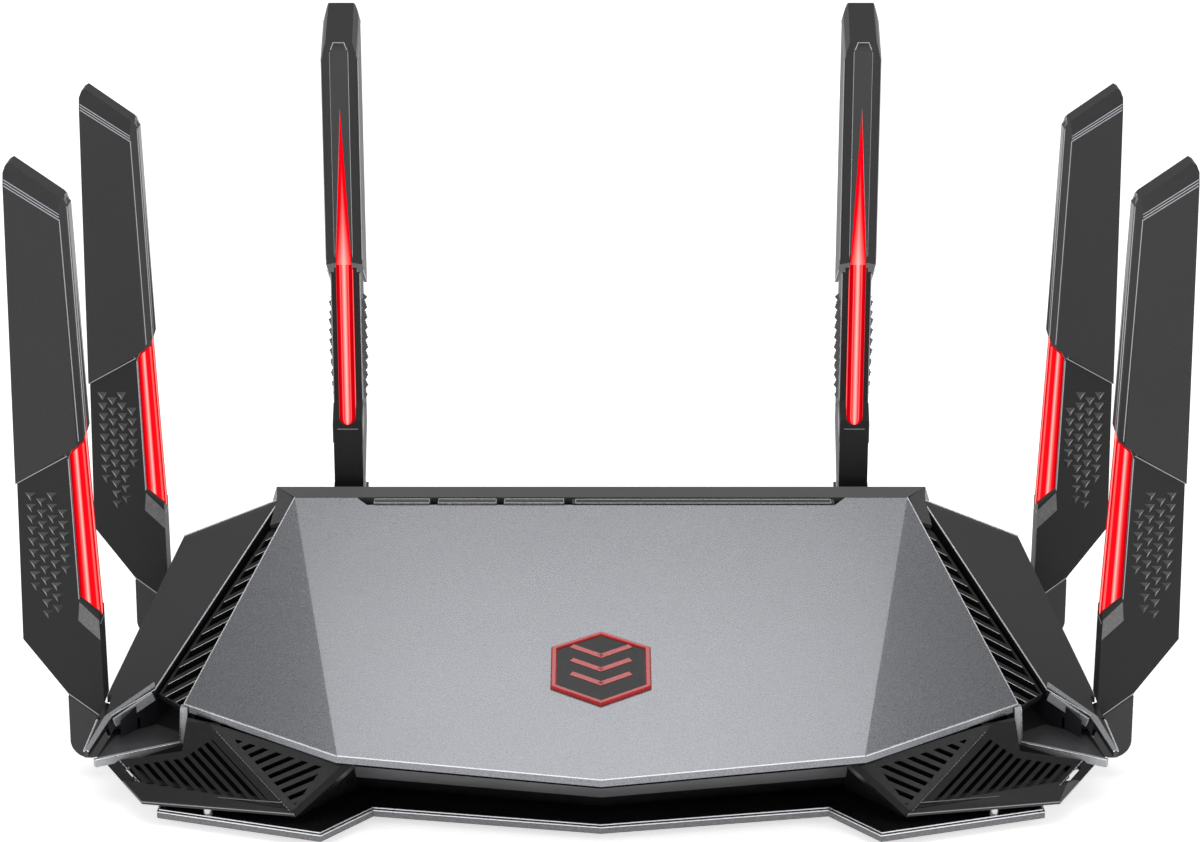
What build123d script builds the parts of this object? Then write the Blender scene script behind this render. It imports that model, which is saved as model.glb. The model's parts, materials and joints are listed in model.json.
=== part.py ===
from build123d import *
import os

# A wireless router with six fold-down antennas. X is right, Y is back, Z is up, in millimetres.
# The origin lies on the table under the middle of the whole object, antennas included.

# ---- driving dimensions -------------------------------------------------------------------
FOOT_HEIGHT = 2.0
PLATE_THICK = 2.2
PLATE_TOP = FOOT_HEIGHT + PLATE_THICK
CASE_BOTTOM = 6.0            # underside of the lower case, above the base plate
WALL = 1.8                   # moulded wall thickness
FLOOR_TOP = CASE_BOTTOM + WALL
DECK_TOP = 12.5              # top of the shoulders, the low deck round the cover
DECK_UNDER = DECK_TOP - WALL
COVER_THICK = 1.9
ROOF_BACK = 42.5             # height of the cover's rear edge and of the crown
GAP = 0.3                    # working gap between pieces that move
FIT = 0.05                   # gap between pieces that are fixed together
BACK_Y = 62.7                # rear wall, outside
CROWN_SKIRT_Z = 33.0         # lower edge of the crown's sloping back

# ---- antenna, drawn upright: U is away from the router, V is up, the pivot is at (0, 0) ----
KNUCKLE_THICK = 9.9
KNUCKLE_RADIUS = 4.9
BLADE_THICK = 8.2
CAP_THICK = 10.2
TRIM_WIDTH = 5.0
GUIDE_WIDTH = 4.4
PIN_RADIUS = 1.5
PIN_LENGTH = 8.4
TONGUE_THICK = 3.6
TONGUE_RADIUS = 4.3
FORK_SLOT = TONGUE_THICK + 2 * GAP
SIDE_PIVOT_Z = 10.8
REAR_PIVOT_Z = 24.0
FRONT_PIVOT = (130.3, -41.4, SIDE_PIVOT_Z)
BACK_PIVOT = (124.4, 39.1, SIDE_PIVOT_Z)
REAR_PIVOT = (72.1, 73.3, REAR_PIVOT_Z)

# ---- corner points of the right half; the left half mirrors them --------------------------
APEX = (0.0, -88.8, 19.5)              # front tip of the cover
NOSE = (64.8, -78.6, 21.2)             # front end of the crease
SHOULDER = (105.1, -51.3, 23.0)        # outer front corner of the cover
COVER_BACK = (85.6, 47.3, ROOF_BACK)   # outer rear corner of the cover
CROWN_BACK = (91.5, 56.4, ROOF_BACK)
DECK_TIP = (126.4, -61.6, DECK_TOP)
DECK_STEP = (106.1, -51.3, DECK_TOP)
DECK_BACK = (113.0, BACK_Y, DECK_TOP)
VENT_TIP = (124.5, -59.5, DECK_UNDER)
VENT_RIDGE = (96.8, -59.2, 19.5)
VENT_FOOT = (74.9, -81.5, CASE_BOTTOM)
VENT_HEEL = (113.4, -74.2, CASE_BOTTOM)
FASCIA_TOP = (60.4, -77.6, 18.6)
FASCIA_FOOT = (60.7, -64.6, CASE_BOTTOM)
FASCIA_APEX = (0.0, -87.6, 17.2)
FASCIA_MID = (0.0, -75.2, CASE_BOTTOM)
CASE_BACK = (108.0, BACK_Y, CASE_BOTTOM)
WING_TIP = (128.2, -61.6, 14.7)
WING_BEND = (124.4, -46.9, 17.8)
WING_INNER = (114.0, -39.7, 22.7)
WING_REAR = (89.9, 50.4, 41.0)
WING_OUTER_REAR = (116.6, 44.8, 32.0)
WING_OUTER = (126.6, -31.3, 19.0)
PLATE_OUTLINE = [(0, -82.4), (56.4, -72.6), (68.3, -86.9), (109.8, -73.5), (104.0, 58.0)]


def plane_through(a, b, c):
    """The plane of three points, facing up."""
    normal = (Vector(*b) - Vector(*a)).cross(Vector(*c) - Vector(*a)).normalized()
    return Plane(origin=a, z_dir=normal if normal.Z > 0 else -normal)


def flip(point):
    """The same point on the left half."""
    return (-point[0],) + tuple(point[1:])


def plan(*points):
    """The plan position of each point."""
    return [(p[0], p[1]) for p in points]


def both_halves(points):
    """A right-half outline that starts on the centre line, closed by its mirror image."""
    return points + [flip(p) for p in reversed(points) if p[0] > 0.01]


def block(points, bottom, top, mode=Mode.ADD):
    """An upright block with the given plan outline, in the current part."""
    with BuildSketch(Plane.XY.offset(bottom)) as profile:
        Polygon(*points, align=None)
    extrude(profile.sketch, amount=top - bottom, mode=mode)


def slab(plane, points, thick, mode=Mode.ADD):
    """A flat plate on a plane, its outline given by points in space, in the current part."""
    local = [plane.to_local_coords(Vector(*p)) for p in points]
    with BuildSketch(plane) as profile:
        Polygon(*[(p.X, p.Y) for p in local], align=None)
    extrude(profile.sketch, amount=thick, mode=mode)


def side_profile(points, thick, mode=Mode.ADD):
    """An antenna outline in U and V, given thickness evenly about its middle plane."""
    with BuildSketch(Plane.XZ) as profile:
        Polygon(*points, align=None)
    extrude(profile.sketch, amount=thick / 2, both=True, mode=mode)


def save(part, name):
    part.label = name
    export_step(part, f"parts/{name}.step")


os.makedirs("parts", exist_ok=True)
ROOF = plane_through(APEX, COVER_BACK, flip(COVER_BACK))
HALVES = (1, -1)                       # the right half and its mirror image
SIDES = ((1, "right"), (-1, "left"))
UPRIGHT = (Align.CENTER, Align.CENTER, Align.MIN)


def on_side(point, side):
    """A right-half point, or its mirror image when side is -1."""
    return (side * point[0],) + tuple(point[1:])


# ==== base ==================================================================================
SCREW_SPOTS = [(90.0, -60.0), (-90.0, -60.0), (94.0, 50.0), (-94.0, 50.0)]
SPACER_SPOTS = [(96.9, -75.4), (-96.9, -75.4), (99.0, 50.0), (-99.0, 50.0)]
FOOT_SPOTS = [(78.0, -62.0), (-78.0, -62.0), (90.0, 36.0), (-90.0, 36.0)]
SCREW_RADIUS = 1.5
HEAD_RADIUS, HEAD_HEIGHT = 3.0, 1.2
CROSS_LONG, CROSS_WIDE, CROSS_DEEP = 2.6, 0.6, 0.7
SPACER_RADIUS = 1.3
FOOT_RADIUS = 6.0
PEG_RADIUS, PEG_HEIGHT = 2.0, 1.6

with BuildPart() as base_plate:
    block(both_halves(PLATE_OUTLINE), FOOT_HEIGHT, PLATE_TOP)
    chamfer(base_plate.faces().sort_by(Axis.Z)[-1].edges(), 0.5)
    with Locations([(x, y, FOOT_HEIGHT) for x, y in SCREW_SPOTS]):
        Cylinder(HEAD_RADIUS, HEAD_HEIGHT, align=UPRIGHT, mode=Mode.SUBTRACT)
        Cylinder(SCREW_RADIUS, PLATE_THICK, align=UPRIGHT, mode=Mode.SUBTRACT)
    with Locations([(x, y, FOOT_HEIGHT) for x, y in FOOT_SPOTS]):
        Cylinder(PEG_RADIUS, PEG_HEIGHT, align=UPRIGHT, mode=Mode.SUBTRACT)
save(base_plate.part, "base_plate")

with BuildPart() as rubber_feet:
    with Locations([(x, y, 0) for x, y in FOOT_SPOTS]):
        Cylinder(FOOT_RADIUS, FOOT_HEIGHT, align=UPRIGHT)
    chamfer(rubber_feet.edges().filter_by(GeomType.CIRCLE).group_by(Axis.Z)[0], 0.5)
    with Locations([(x, y, FOOT_HEIGHT) for x, y in FOOT_SPOTS]):
        Cylinder(PEG_RADIUS, PEG_HEIGHT, align=UPRIGHT)
save(rubber_feet.part, "rubber_feet")

SCREW_TIP = 10.2
with BuildPart() as case_screws:
    with Locations([(x, y, FOOT_HEIGHT) for x, y in SCREW_SPOTS]):
        Cylinder(HEAD_RADIUS, HEAD_HEIGHT, align=UPRIGHT)
        Cylinder(SCREW_RADIUS, SCREW_TIP - FOOT_HEIGHT, align=UPRIGHT)
        Box(CROSS_LONG, CROSS_WIDE, CROSS_DEEP, align=UPRIGHT, mode=Mode.SUBTRACT)
        Box(CROSS_WIDE, CROSS_LONG, CROSS_DEEP, align=UPRIGHT, mode=Mode.SUBTRACT)
save(case_screws.part, "case_screws")

with BuildPart() as spacers:
    with Locations([(x, y, PLATE_TOP) for x, y in SPACER_SPOTS]):
        Cylinder(SPACER_RADIUS, CASE_BOTTOM - PLATE_TOP, align=UPRIGHT)
save(spacers.part, "spacers")

# ==== rear sockets ==========================================================================
JACK_BODY = (16.0, 21.0, 14.2)
JACK_MOUTH = (11.9, 10.0, 8.4)
JACK_XS = [12.0, -4.5, -21.0, -37.5, -54.0]
USB_X, USB_BODY = 29.5, (14.4, 17.5, 7.6)
USB_MOUTH = (12.6, 12.0, 5.2)
DC_X, DC_BODY = 44.0, (9.4, 14.2, 11.0)
DC_RADIUS, DC_PIN_RADIUS = 3.1, 1.0
POWER_X, POWER_SIZE = 57.0, (8.4, 6.2)
POWER_TRAVEL = 1.6
PORT_MARGIN = 0.25
BOARD_UNDER, BOARD_THICK = 9.0, 1.6
BOARD_TOP = BOARD_UNDER + BOARD_THICK
JACK_MID_Z = BOARD_TOP + JACK_BODY[2] / 2
USB_MID_Z = BOARD_TOP + USB_BODY[2] / 2
DC_MID_Z = BOARD_TOP + DC_BODY[2] / 2
POWER_MID_Z = 17.5


def socket_window(x, z, width, height):
    """A rectangular window through the rear wall of the current part."""
    with Locations((x, BACK_Y - WALL / 2, z)):
        Box(width, WALL * 2, height, mode=Mode.SUBTRACT)


def ahead_of_faces(side):
    """The space in front of the two intake faces on one side."""
    ridge, foot = on_side(VENT_RIDGE, side), on_side(VENT_FOOT, side)
    with BuildPart() as ahead:
        block([(side * 40, -100), (side * 140, -100), (side * 140, -50), (side * 40, -50)], 0, 30)
        for third in (on_side(VENT_TIP, side), on_side(FASCIA_TOP, side)):
            split(bisect_by=plane_through(ridge, foot, third).offset(-WALL - FIT), keep=Keep.TOP)
    return ahead.part


CASE_FLOOR = [(0.0, -72.2), (63.2, -61.2), (77.8, -79.1)] + plan(VENT_HEEL, CASE_BACK)
REAR_HALF_WIDTH = 112.0
BOSS_RADIUS = 3.4                      # round each case screw
POST_RADIUS = 3.0                      # under the main board
POST_SPOTS = [(-78, -40), (-78, 50), (78, -40), (78, 50)]
front_spaces = [ahead_of_faces(side) for side in HALVES]

with BuildPart() as lower_case:
    block(both_halves(CASE_FLOOR), CASE_BOTTOM, FLOOR_TOP)
    for side in HALVES:
        heel, tip = on_side(VENT_HEEL, side), on_side(VENT_TIP, side)
        foot_back = on_side(CASE_BACK, side)
        deck_back = on_side((DECK_BACK[0], BACK_Y, DECK_UNDER), side)
        slab(plane_through(heel, foot_back, tip), [heel, foot_back, deck_back, tip], WALL)
    # the floor and the side walls stop at the back of the grille's two intake faces
    for space in front_spaces:
        add(space, mode=Mode.SUBTRACT)
    with Locations((0, BACK_Y - WALL / 2, CASE_BOTTOM)):
        Box(2 * REAR_HALF_WIDTH, WALL, CROWN_SKIRT_Z - CASE_BOTTOM, align=UPRIGHT)
    for side in HALVES:
        slant = plane_through(on_side(DECK_BACK, side), on_side((DECK_BACK[0], 0, DECK_TOP), side),
                              on_side((94.0, BACK_Y, CROWN_SKIRT_Z), side))
        split(bisect_by=slant, keep=Keep.BOTTOM)
    with Locations([(x, y, FLOOR_TOP) for x, y in SCREW_SPOTS]):
        Cylinder(BOSS_RADIUS, DECK_UNDER - FLOOR_TOP, align=UPRIGHT)
    with Locations([(x, y, CASE_BOTTOM) for x, y in SCREW_SPOTS]):
        Cylinder(SCREW_RADIUS, SCREW_TIP - CASE_BOTTOM, align=UPRIGHT, mode=Mode.SUBTRACT)
    with Locations([(x, y, FLOOR_TOP) for x, y in POST_SPOTS]):
        Cylinder(POST_RADIUS, BOARD_UNDER - FLOOR_TOP, align=UPRIGHT)
    for x in JACK_XS:
        socket_window(x, JACK_MID_Z, JACK_BODY[0] + 2 * PORT_MARGIN, JACK_BODY[2] + 2 * PORT_MARGIN)
    socket_window(USB_X, USB_MID_Z, USB_BODY[0] + 2 * PORT_MARGIN, USB_BODY[2] + 2 * PORT_MARGIN)
    socket_window(DC_X, DC_MID_Z, DC_BODY[0] + 2 * PORT_MARGIN, DC_BODY[2] + 2 * PORT_MARGIN)
    socket_window(POWER_X, POWER_MID_Z, POWER_SIZE[0] + 2 * GAP, POWER_SIZE[1] + 2 * GAP)
    # hinge tongues for the two rear antennas
    for side in HALVES:
        x = side * REAR_PIVOT[0]
        with BuildSketch(Plane.YZ.offset(x - TONGUE_THICK / 2)):
            with Locations((REAR_PIVOT[1], REAR_PIVOT[2])):
                Circle(TONGUE_RADIUS)
            with Locations(((REAR_PIVOT[1] + BACK_Y - WALL) / 2, REAR_PIVOT[2])):
                Rectangle(REAR_PIVOT[1] - BACK_Y + WALL, 2 * TONGUE_RADIUS)
            with Locations((REAR_PIVOT[1], REAR_PIVOT[2])):
                Circle(PIN_RADIUS, mode=Mode.SUBTRACT)
        extrude(amount=TONGUE_THICK)
save(lower_case.part, "lower_case")

# ==== top cover ==============================================================================
NOTCH_FRONT_Y = 43.3                   # front edge of the button notch in the cover's rear edge
NOTCH_LONG, NOTCH_SHORT = 68.2, 65.2   # half lengths of the notch, at its mouth and its floor
BADGE_OUTLINE = [(0.0, -23.0), (12.8, -30.5), (12.8, -49.0), (0.0, -57.0)]
SEAT_DEEP = 0.9                        # the badge's seat in the cover
ROOF_SLOPE = (ROOF_BACK - APEX[2]) / (COVER_BACK[1] - APEX[1])
badge_corners = [ROOF.to_local_coords(Vector(x, y, APEX[2] + (y - APEX[1]) * ROOF_SLOPE))
                 for x, y in both_halves(BADGE_OUTLINE)]
badge_shape = [(corner.X, corner.Y) for corner in badge_corners]

with BuildPart() as cover_roof:
    block(both_halves(plan(APEX, NOSE, SHOULDER, COVER_BACK)), 0, 80)
    split(bisect_by=ROOF, keep=Keep.BOTTOM)
    for side in HALVES:
        split(bisect_by=plane_through(on_side(COVER_BACK, side), on_side(NOSE, side),
                                      on_side(SHOULDER, side)), keep=Keep.BOTTOM)
with BuildPart() as top_cover:
    add(cover_roof.part)
    add(cover_roof.part.moved(Location((0, 0, -COVER_THICK))), mode=Mode.SUBTRACT)
    block([(-NOTCH_LONG, 60), (-NOTCH_LONG, COVER_BACK[1]), (-NOTCH_SHORT, NOTCH_FRONT_Y),
           (NOTCH_SHORT, NOTCH_FRONT_Y), (NOTCH_LONG, COVER_BACK[1]), (NOTCH_LONG, 60)], 0, 80,
          mode=Mode.SUBTRACT)
    # seat for the badge
    with BuildSketch(ROOF) as badge_seat:
        Polygon(*badge_shape, align=None)
    extrude(badge_seat.sketch, amount=-SEAT_DEEP, mode=Mode.SUBTRACT)
save(top_cover.part, "top_cover")

UNDER_COVER = (0, 0, -COVER_THICK - FIT)   # from the cover's top to just below its underside
BRIM = 2.0                             # plain border round each slotted field


def slot_field(plane, points, axis_from, axis_to, count, first, pitch, width):
    """Cuts parallel slots, within a border, through a flat face of the current part."""
    direction = (Vector(*axis_to) - Vector(*axis_from)).normalized()
    turned = Plane(origin=axis_from, x_dir=direction, z_dir=plane.z_dir)
    local = [turned.to_local_coords(Vector(*p)) for p in points]
    with BuildSketch(turned) as field:
        Polygon(*[(p.X, p.Y) for p in local], align=None)
        offset(amount=-BRIM, kind=Kind.INTERSECTION, mode=Mode.REPLACE)
        with Locations([(0, (first + i + 0.5) * pitch) for i in range(-count, count + 1)]):
            Rectangle(400, pitch - width, mode=Mode.SUBTRACT)
    extrude(field.sketch, amount=3 * WALL, both=True, mode=Mode.SUBTRACT)


# ==== middle frame: shoulders, cover rim, side vents and side hinge tongues ====================
RIM_OUTSIDE, RIM_INSIDE = 0.4, 2.3     # the rim wall's two faces, in from the cover's edge
VENT_SHOULDER = (104.4, -50.0, 20.3)   # side vent plane, along the cover's edge
VENT_BACK = (85.4, 46.0, 39.4)
VENT_OUTER = (113.0, -40.0, 20.9)
VENT_OUTER_BACK = (92.0, 35.0, 36.9)
SLAT_FROM, SLAT_TO = (112.5, -44.7, 20.2), (105.1, -38.6, 22.5)
SLAT_PITCH, SLAT_GAP = 4.4, 2.7
SLATS = 24
TONGUE_ROOT = 11.5                     # how far each side tongue reaches in over the deck
DECK_OPENING = (82.0, -46.0)           # half width and front edge of the opening over the board
VENT_THICK = 1.5
SLOTTED_PART = [(104.8, -51.5, 20.3), (87.8, 35.0, 37.0), (92.9, 36.0, 36.9), (114.6, -41.0, 20.9)]
END_SECTION = [(44.6, DECK_UNDER), (44.6, 40.4), (55.2, 40.4), (60.6, 32.6), (60.6, DECK_UNDER)]


def end_wall(side):
    """The slanting wall that closes one end of the crown."""
    with BuildPart() as wall:
        block([(side * 82.4, 44.6), (side * 84.6, 44.6), (side * 92.0, 60.6), (side * 89.8, 60.6)],
              DECK_UNDER, 60)
        with BuildSketch(Plane.YZ) as section:
            Polygon(*END_SECTION, align=None)
        extrude(section.sketch, amount=120, both=True, mode=Mode.INTERSECT)
    return wall.part


end_walls = [end_wall(side) for side in HALVES]

with BuildPart() as mid_frame:
    deck = [DECK_STEP, DECK_TIP, (DECK_BACK[0], BACK_Y - WALL - GAP, 0)]
    block(plan(*deck) + plan(*[flip(p) for p in reversed(deck)]), DECK_UNDER, DECK_TOP)
    half_width, front_edge = DECK_OPENING
    block([(half_width, front_edge), (half_width, BACK_Y), (-half_width, BACK_Y),
           (-half_width, front_edge)], 0, DECK_TOP + 1, mode=Mode.SUBTRACT)
    for side in HALVES:
        shoulder, back = on_side(SHOULDER, side), on_side(COVER_BACK, side)
        front_y, back_y = shoulder[1] + 1.5, back[1] - 1.0
        block([(shoulder[0] - side * RIM_OUTSIDE, front_y), (shoulder[0] - side * RIM_INSIDE, front_y),
               (back[0] - side * RIM_INSIDE, back_y), (back[0] - side * RIM_OUTSIDE, back_y)],
              DECK_UNDER, ROOF_BACK)
    for side in HALVES:
        facet = [tuple(Vector(*on_side(p, side)) + UNDER_COVER) for p in (SHOULDER, COVER_BACK, NOSE)]
        split(bisect_by=plane_through(*facet), keep=Keep.BOTTOM)
    for side in HALVES:
        vent_points = [on_side(p, side) for p in (VENT_SHOULDER, VENT_BACK, VENT_OUTER_BACK,
                                                  VENT_OUTER)]
        vent_plane = plane_through(vent_points[0], vent_points[1], vent_points[3])
        slab(vent_plane, vent_points, -VENT_THICK)
    for side in HALVES:
        vent_plane = plane_through(*[on_side(p, side) for p in (VENT_SHOULDER, VENT_BACK,
                                                                VENT_OUTER)])
        slotted = [on_side(p, side) for p in SLOTTED_PART]
        slot_field(vent_plane, slotted, on_side(SLAT_FROM, side), on_side(SLAT_TO, side),
                   SLATS, 0.0, SLAT_PITCH, SLAT_GAP)
    # two hinge tongues on each side, rooted on the deck
    for side in HALVES:
        for pivot in (FRONT_PIVOT, BACK_PIVOT):
            x, y, z = on_side(pivot, side)
            with BuildSketch(Plane.XZ.offset(-y - TONGUE_THICK / 2)) as tongue:
                with Locations((x, z)):
                    Circle(TONGUE_RADIUS)
                with Locations((x - side * TONGUE_ROOT / 2, (DECK_UNDER + z + TONGUE_RADIUS) / 2)):
                    Rectangle(TONGUE_ROOT, z + TONGUE_RADIUS - DECK_UNDER)
                with Locations((x, z)):
                    Circle(PIN_RADIUS, mode=Mode.SUBTRACT)
            extrude(tongue.sketch, amount=TONGUE_THICK)
    for wall in end_walls:
        add(wall)
    add(top_cover.part, mode=Mode.SUBTRACT)
save(mid_frame.part, "mid_frame")

# ==== front grille: the undercut fascia and the two slotted intakes ============================
VENT_ELBOW = (104.6, -61.4, 14.4)      # below the step of the shoulder
VENT_CORNER = (103.9, -54.6, 20.9)     # below the cover's outer corner
VENT_BROW = (97.9, -56.8, 20.2)        # above the ridge, below the cover
VENT_NOSE = (65.3, -75.9, 18.2)
SLOT_WIDTH, SLOT_PITCH = 1.05, 2.05
SIDE_SLOT_WIDTH, SIDE_SLOT_PITCH = 1.2, 2.45
FRONT_SLOTS = 20
SIDE_SLOTS = 14
SIDE_SLOT_FROM, SIDE_SLOT_TO = (82.6, -72.3, 12.3), (71.4, -73.0, 17.7)
VALLEY_LAP = (-1.07, 1.05, 1.28)       # how far the outer face runs on under the inner one


def under_valley(point, side):
    """A point of the valley on one side, moved in under the inner face."""
    lap_x, lap_y, lap_z = VALLEY_LAP
    return (side * (point[0] + lap_x), point[1] + lap_y, point[2] + lap_z)


with BuildPart() as front_grille:
    for side in HALVES:
        tip, ridge, foot, heel, elbow, corner, brow, nose, fascia_top = [
            on_side(p, side) for p in (VENT_TIP, VENT_RIDGE, VENT_FOOT, VENT_HEEL, VENT_ELBOW,
                                       VENT_CORNER, VENT_BROW, VENT_NOSE, FASCIA_TOP)]
        outer_face = plane_through(ridge, foot, tip)
        inner_face = plane_through(ridge, foot, fascia_top)
        # the two faces meet in a valley, so the outer one runs on a little under the inner one
        under_ridge, under_foot = under_valley(VENT_RIDGE, side), under_valley(VENT_FOOT, side)
        slab(outer_face, [tip, elbow, corner, brow, under_ridge, under_foot, foot, heel], -WALL)
        slab(inner_face, [ridge, brow, nose, fascia_top, foot], -WALL)
    for side in HALVES:
        tip, elbow, ridge, foot, heel, brow, nose, fascia_top = [
            on_side(p, side) for p in (VENT_TIP, VENT_ELBOW, VENT_RIDGE, VENT_FOOT, VENT_HEEL,
                                       VENT_BROW, VENT_NOSE, FASCIA_TOP)]
        outer_face = plane_through(ridge, foot, tip)
        inner_face = plane_through(ridge, foot, fascia_top)
        slot_field(outer_face, [tip, elbow, ridge, foot, heel], ridge, foot, FRONT_SLOTS, 0.15,
                   SLOT_PITCH, SLOT_WIDTH)
        slot_field(inner_face, [ridge, brow, nose, foot], on_side(SIDE_SLOT_FROM, side),
                   on_side(SIDE_SLOT_TO, side), SIDE_SLOTS, 0.0, SIDE_SLOT_PITCH,
                   SIDE_SLOT_WIDTH)
    for side in HALVES:
        foot, fascia_top, fascia_foot = [
            on_side(p, side) for p in (VENT_FOOT, FASCIA_TOP, FASCIA_FOOT)]
        slab(plane_through(foot, fascia_foot, fascia_top), [foot, fascia_foot, fascia_top], WALL)
        slab(plane_through(FASCIA_APEX, FASCIA_MID, fascia_top),
             [FASCIA_APEX, FASCIA_MID, fascia_foot, fascia_top], WALL)
    split(bisect_by=Plane.XY.offset(CASE_BOTTOM), keep=Keep.TOP)
    # the cover sits over the grille's upper edge, and the shoulders' deck cuts across its tips
    roof_corners = [tuple(Vector(*p) + UNDER_COVER) for p in (APEX, COVER_BACK, flip(COVER_BACK))]
    split(bisect_by=plane_through(*roof_corners), keep=Keep.BOTTOM)
    for side in HALVES:
        facet = [tuple(Vector(*on_side(p, side)) + UNDER_COVER) for p in (COVER_BACK, NOSE, SHOULDER)]
        split(bisect_by=plane_through(*facet), keep=Keep.BOTTOM)
        deck_front = [on_side(p, side) for p in (DECK_STEP, DECK_TIP, (113.0, 0.0))]
        block(plan(*deck_front), DECK_UNDER - FIT, DECK_TOP + FIT,
              mode=Mode.SUBTRACT)
save(front_grille.part, "front_grille")

# ==== wings =================================================================================
WING_THICK = 1.8
NOTCH_HALF = KNUCKLE_THICK / 2 + 2 * GAP
NOTCH_LENGTH, NOTCH_REACH = 40.0, 4.5  # the hinge notches, and how far they reach in past the pivot
WING_FLANK = (129.3, -60.9, 14.4)      # outer corner of the blunt tip
SKIRT_OUTLINE = [(121.8, -49.0), (113.9, -36.5), (91.9, 46.5), (112.6, 41.0), (120.6, -30.5)]
SKIRT_HOLLOW = [(119.4, -43.5), (115.2, -34.8), (94.6, 44.0), (110.6, 39.0), (118.6, -30.5)]
wings = {}
for side, name in SIDES:
    corners = [on_side(p, side) for p in (WING_TIP, WING_BEND, WING_INNER, WING_REAR,
                                          WING_OUTER_REAR, WING_OUTER)]
    top = plane_through(corners[0], corners[3], corners[4])
    wing_outline = plan(*corners, on_side(WING_FLANK, side))
    with BuildPart() as wing:
        block(wing_outline, DECK_TOP, 60)
        split(bisect_by=top, keep=Keep.BOTTOM)
        add(wing.part.moved(Location((0, 0, -WING_THICK))), mode=Mode.SUBTRACT)
    with BuildPart() as skirt:
        block([on_side(p, side) for p in SKIRT_OUTLINE], DECK_TOP, 60)
        split(bisect_by=top.offset(-WING_THICK / 2), keep=Keep.BOTTOM)
        block([on_side(p, side) for p in SKIRT_HOLLOW], 0, 60, mode=Mode.SUBTRACT)
    with BuildPart() as finished_wing:
        add(wing.part)
        add(skirt.part)
        add(mid_frame.part, mode=Mode.SUBTRACT)
        for pivot in (FRONT_PIVOT, BACK_PIVOT):
            x, y, z = on_side(pivot, side)
            with Locations((x + side * (NOTCH_LENGTH / 2 - NOTCH_REACH), y, 30)):
                Box(NOTCH_LENGTH, 2 * NOTCH_HALF, 60, mode=Mode.SUBTRACT)
            with Locations((x - side * TONGUE_ROOT / 2, y, z)):
                Box(TONGUE_ROOT + 2, TONGUE_THICK + 2 * GAP, 2 * TONGUE_RADIUS + 1,
                    mode=Mode.SUBTRACT)
    wings[name] = finished_wing.part
    save(wings[name], f"wing_{name}")

# ==== badge: a plain six-sided frame with a dark lens in it ==================================
BEZEL_WIDTH, BEZEL_HEIGHT, LENS_HEIGHT = 1.5, 1.7, 1.3
with BuildPart() as badge_bezel:
    with BuildSketch(ROOF.offset(-SEAT_DEEP)) as bezel:
        Polygon(*badge_shape, align=None)
        offset(amount=-FIT, kind=Kind.INTERSECTION, mode=Mode.REPLACE)
        offset(bezel.sketch_local, amount=-BEZEL_WIDTH, kind=Kind.INTERSECTION, mode=Mode.SUBTRACT)
    extrude(bezel.sketch, amount=BEZEL_HEIGHT)
    faces_up = badge_bezel.faces().filter_by(Axis(ROOF.origin, ROOF.z_dir))
    chamfer(faces_up.sort_by(Axis.Z)[-1].edges(), 0.3)
save(badge_bezel.part, "badge_bezel")
with BuildPart() as badge_lens:
    with BuildSketch(ROOF.offset(-SEAT_DEEP)) as lens:
        Polygon(*badge_shape, align=None)
        offset(amount=-BEZEL_WIDTH - 2 * FIT, kind=Kind.INTERSECTION, mode=Mode.REPLACE)
    extrude(lens.sketch, amount=LENS_HEIGHT)
save(badge_lens.part, "badge_lens")

# ==== crown: the strip behind the cover, its side panels and its sloping back ================
CROWN_THICK = 1.9
CROWN_FRONT_Y = COVER_BACK[1] + GAP
CROWN_OUTLINE = [(85.6, CROWN_FRONT_Y), plan(CROWN_BACK)[0], (94.4, BACK_Y)]
PANEL_OUTLINE = [CROWN_BACK, (86.2, 47.8, 42.5), (88.0, 36.4, 39.9), (91.6, 36.8, 38.2),
                 (90.4, 50.4, 40.2)]
PANEL_THICK = 1.2
with BuildPart() as rear_crown:
    with BuildSketch(Plane.YZ) as crown_section:
        Polygon((CROWN_FRONT_Y, ROOF_BACK), (CROWN_BACK[1], ROOF_BACK), (BACK_Y, CROWN_SKIRT_Z),
                (BACK_Y - CROWN_THICK, CROWN_SKIRT_Z),
                (CROWN_BACK[1] - 0.9, ROOF_BACK - CROWN_THICK),
                (CROWN_FRONT_Y, ROOF_BACK - CROWN_THICK), align=None)
    extrude(crown_section.sketch, amount=100, both=True)
    block(CROWN_OUTLINE + [flip(p) for p in reversed(CROWN_OUTLINE)], 0, 60, mode=Mode.INTERSECT)
    for side in HALVES:
        panel = [on_side(p, side) for p in PANEL_OUTLINE]
        slab(plane_through(panel[0], panel[1], panel[3]), panel, -PANEL_THICK)
    for neighbour in (top_cover.part, mid_frame.part, wings["right"], wings["left"]):
        add(neighbour, mode=Mode.SUBTRACT)
save(rear_crown.part, "rear_crown")

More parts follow.
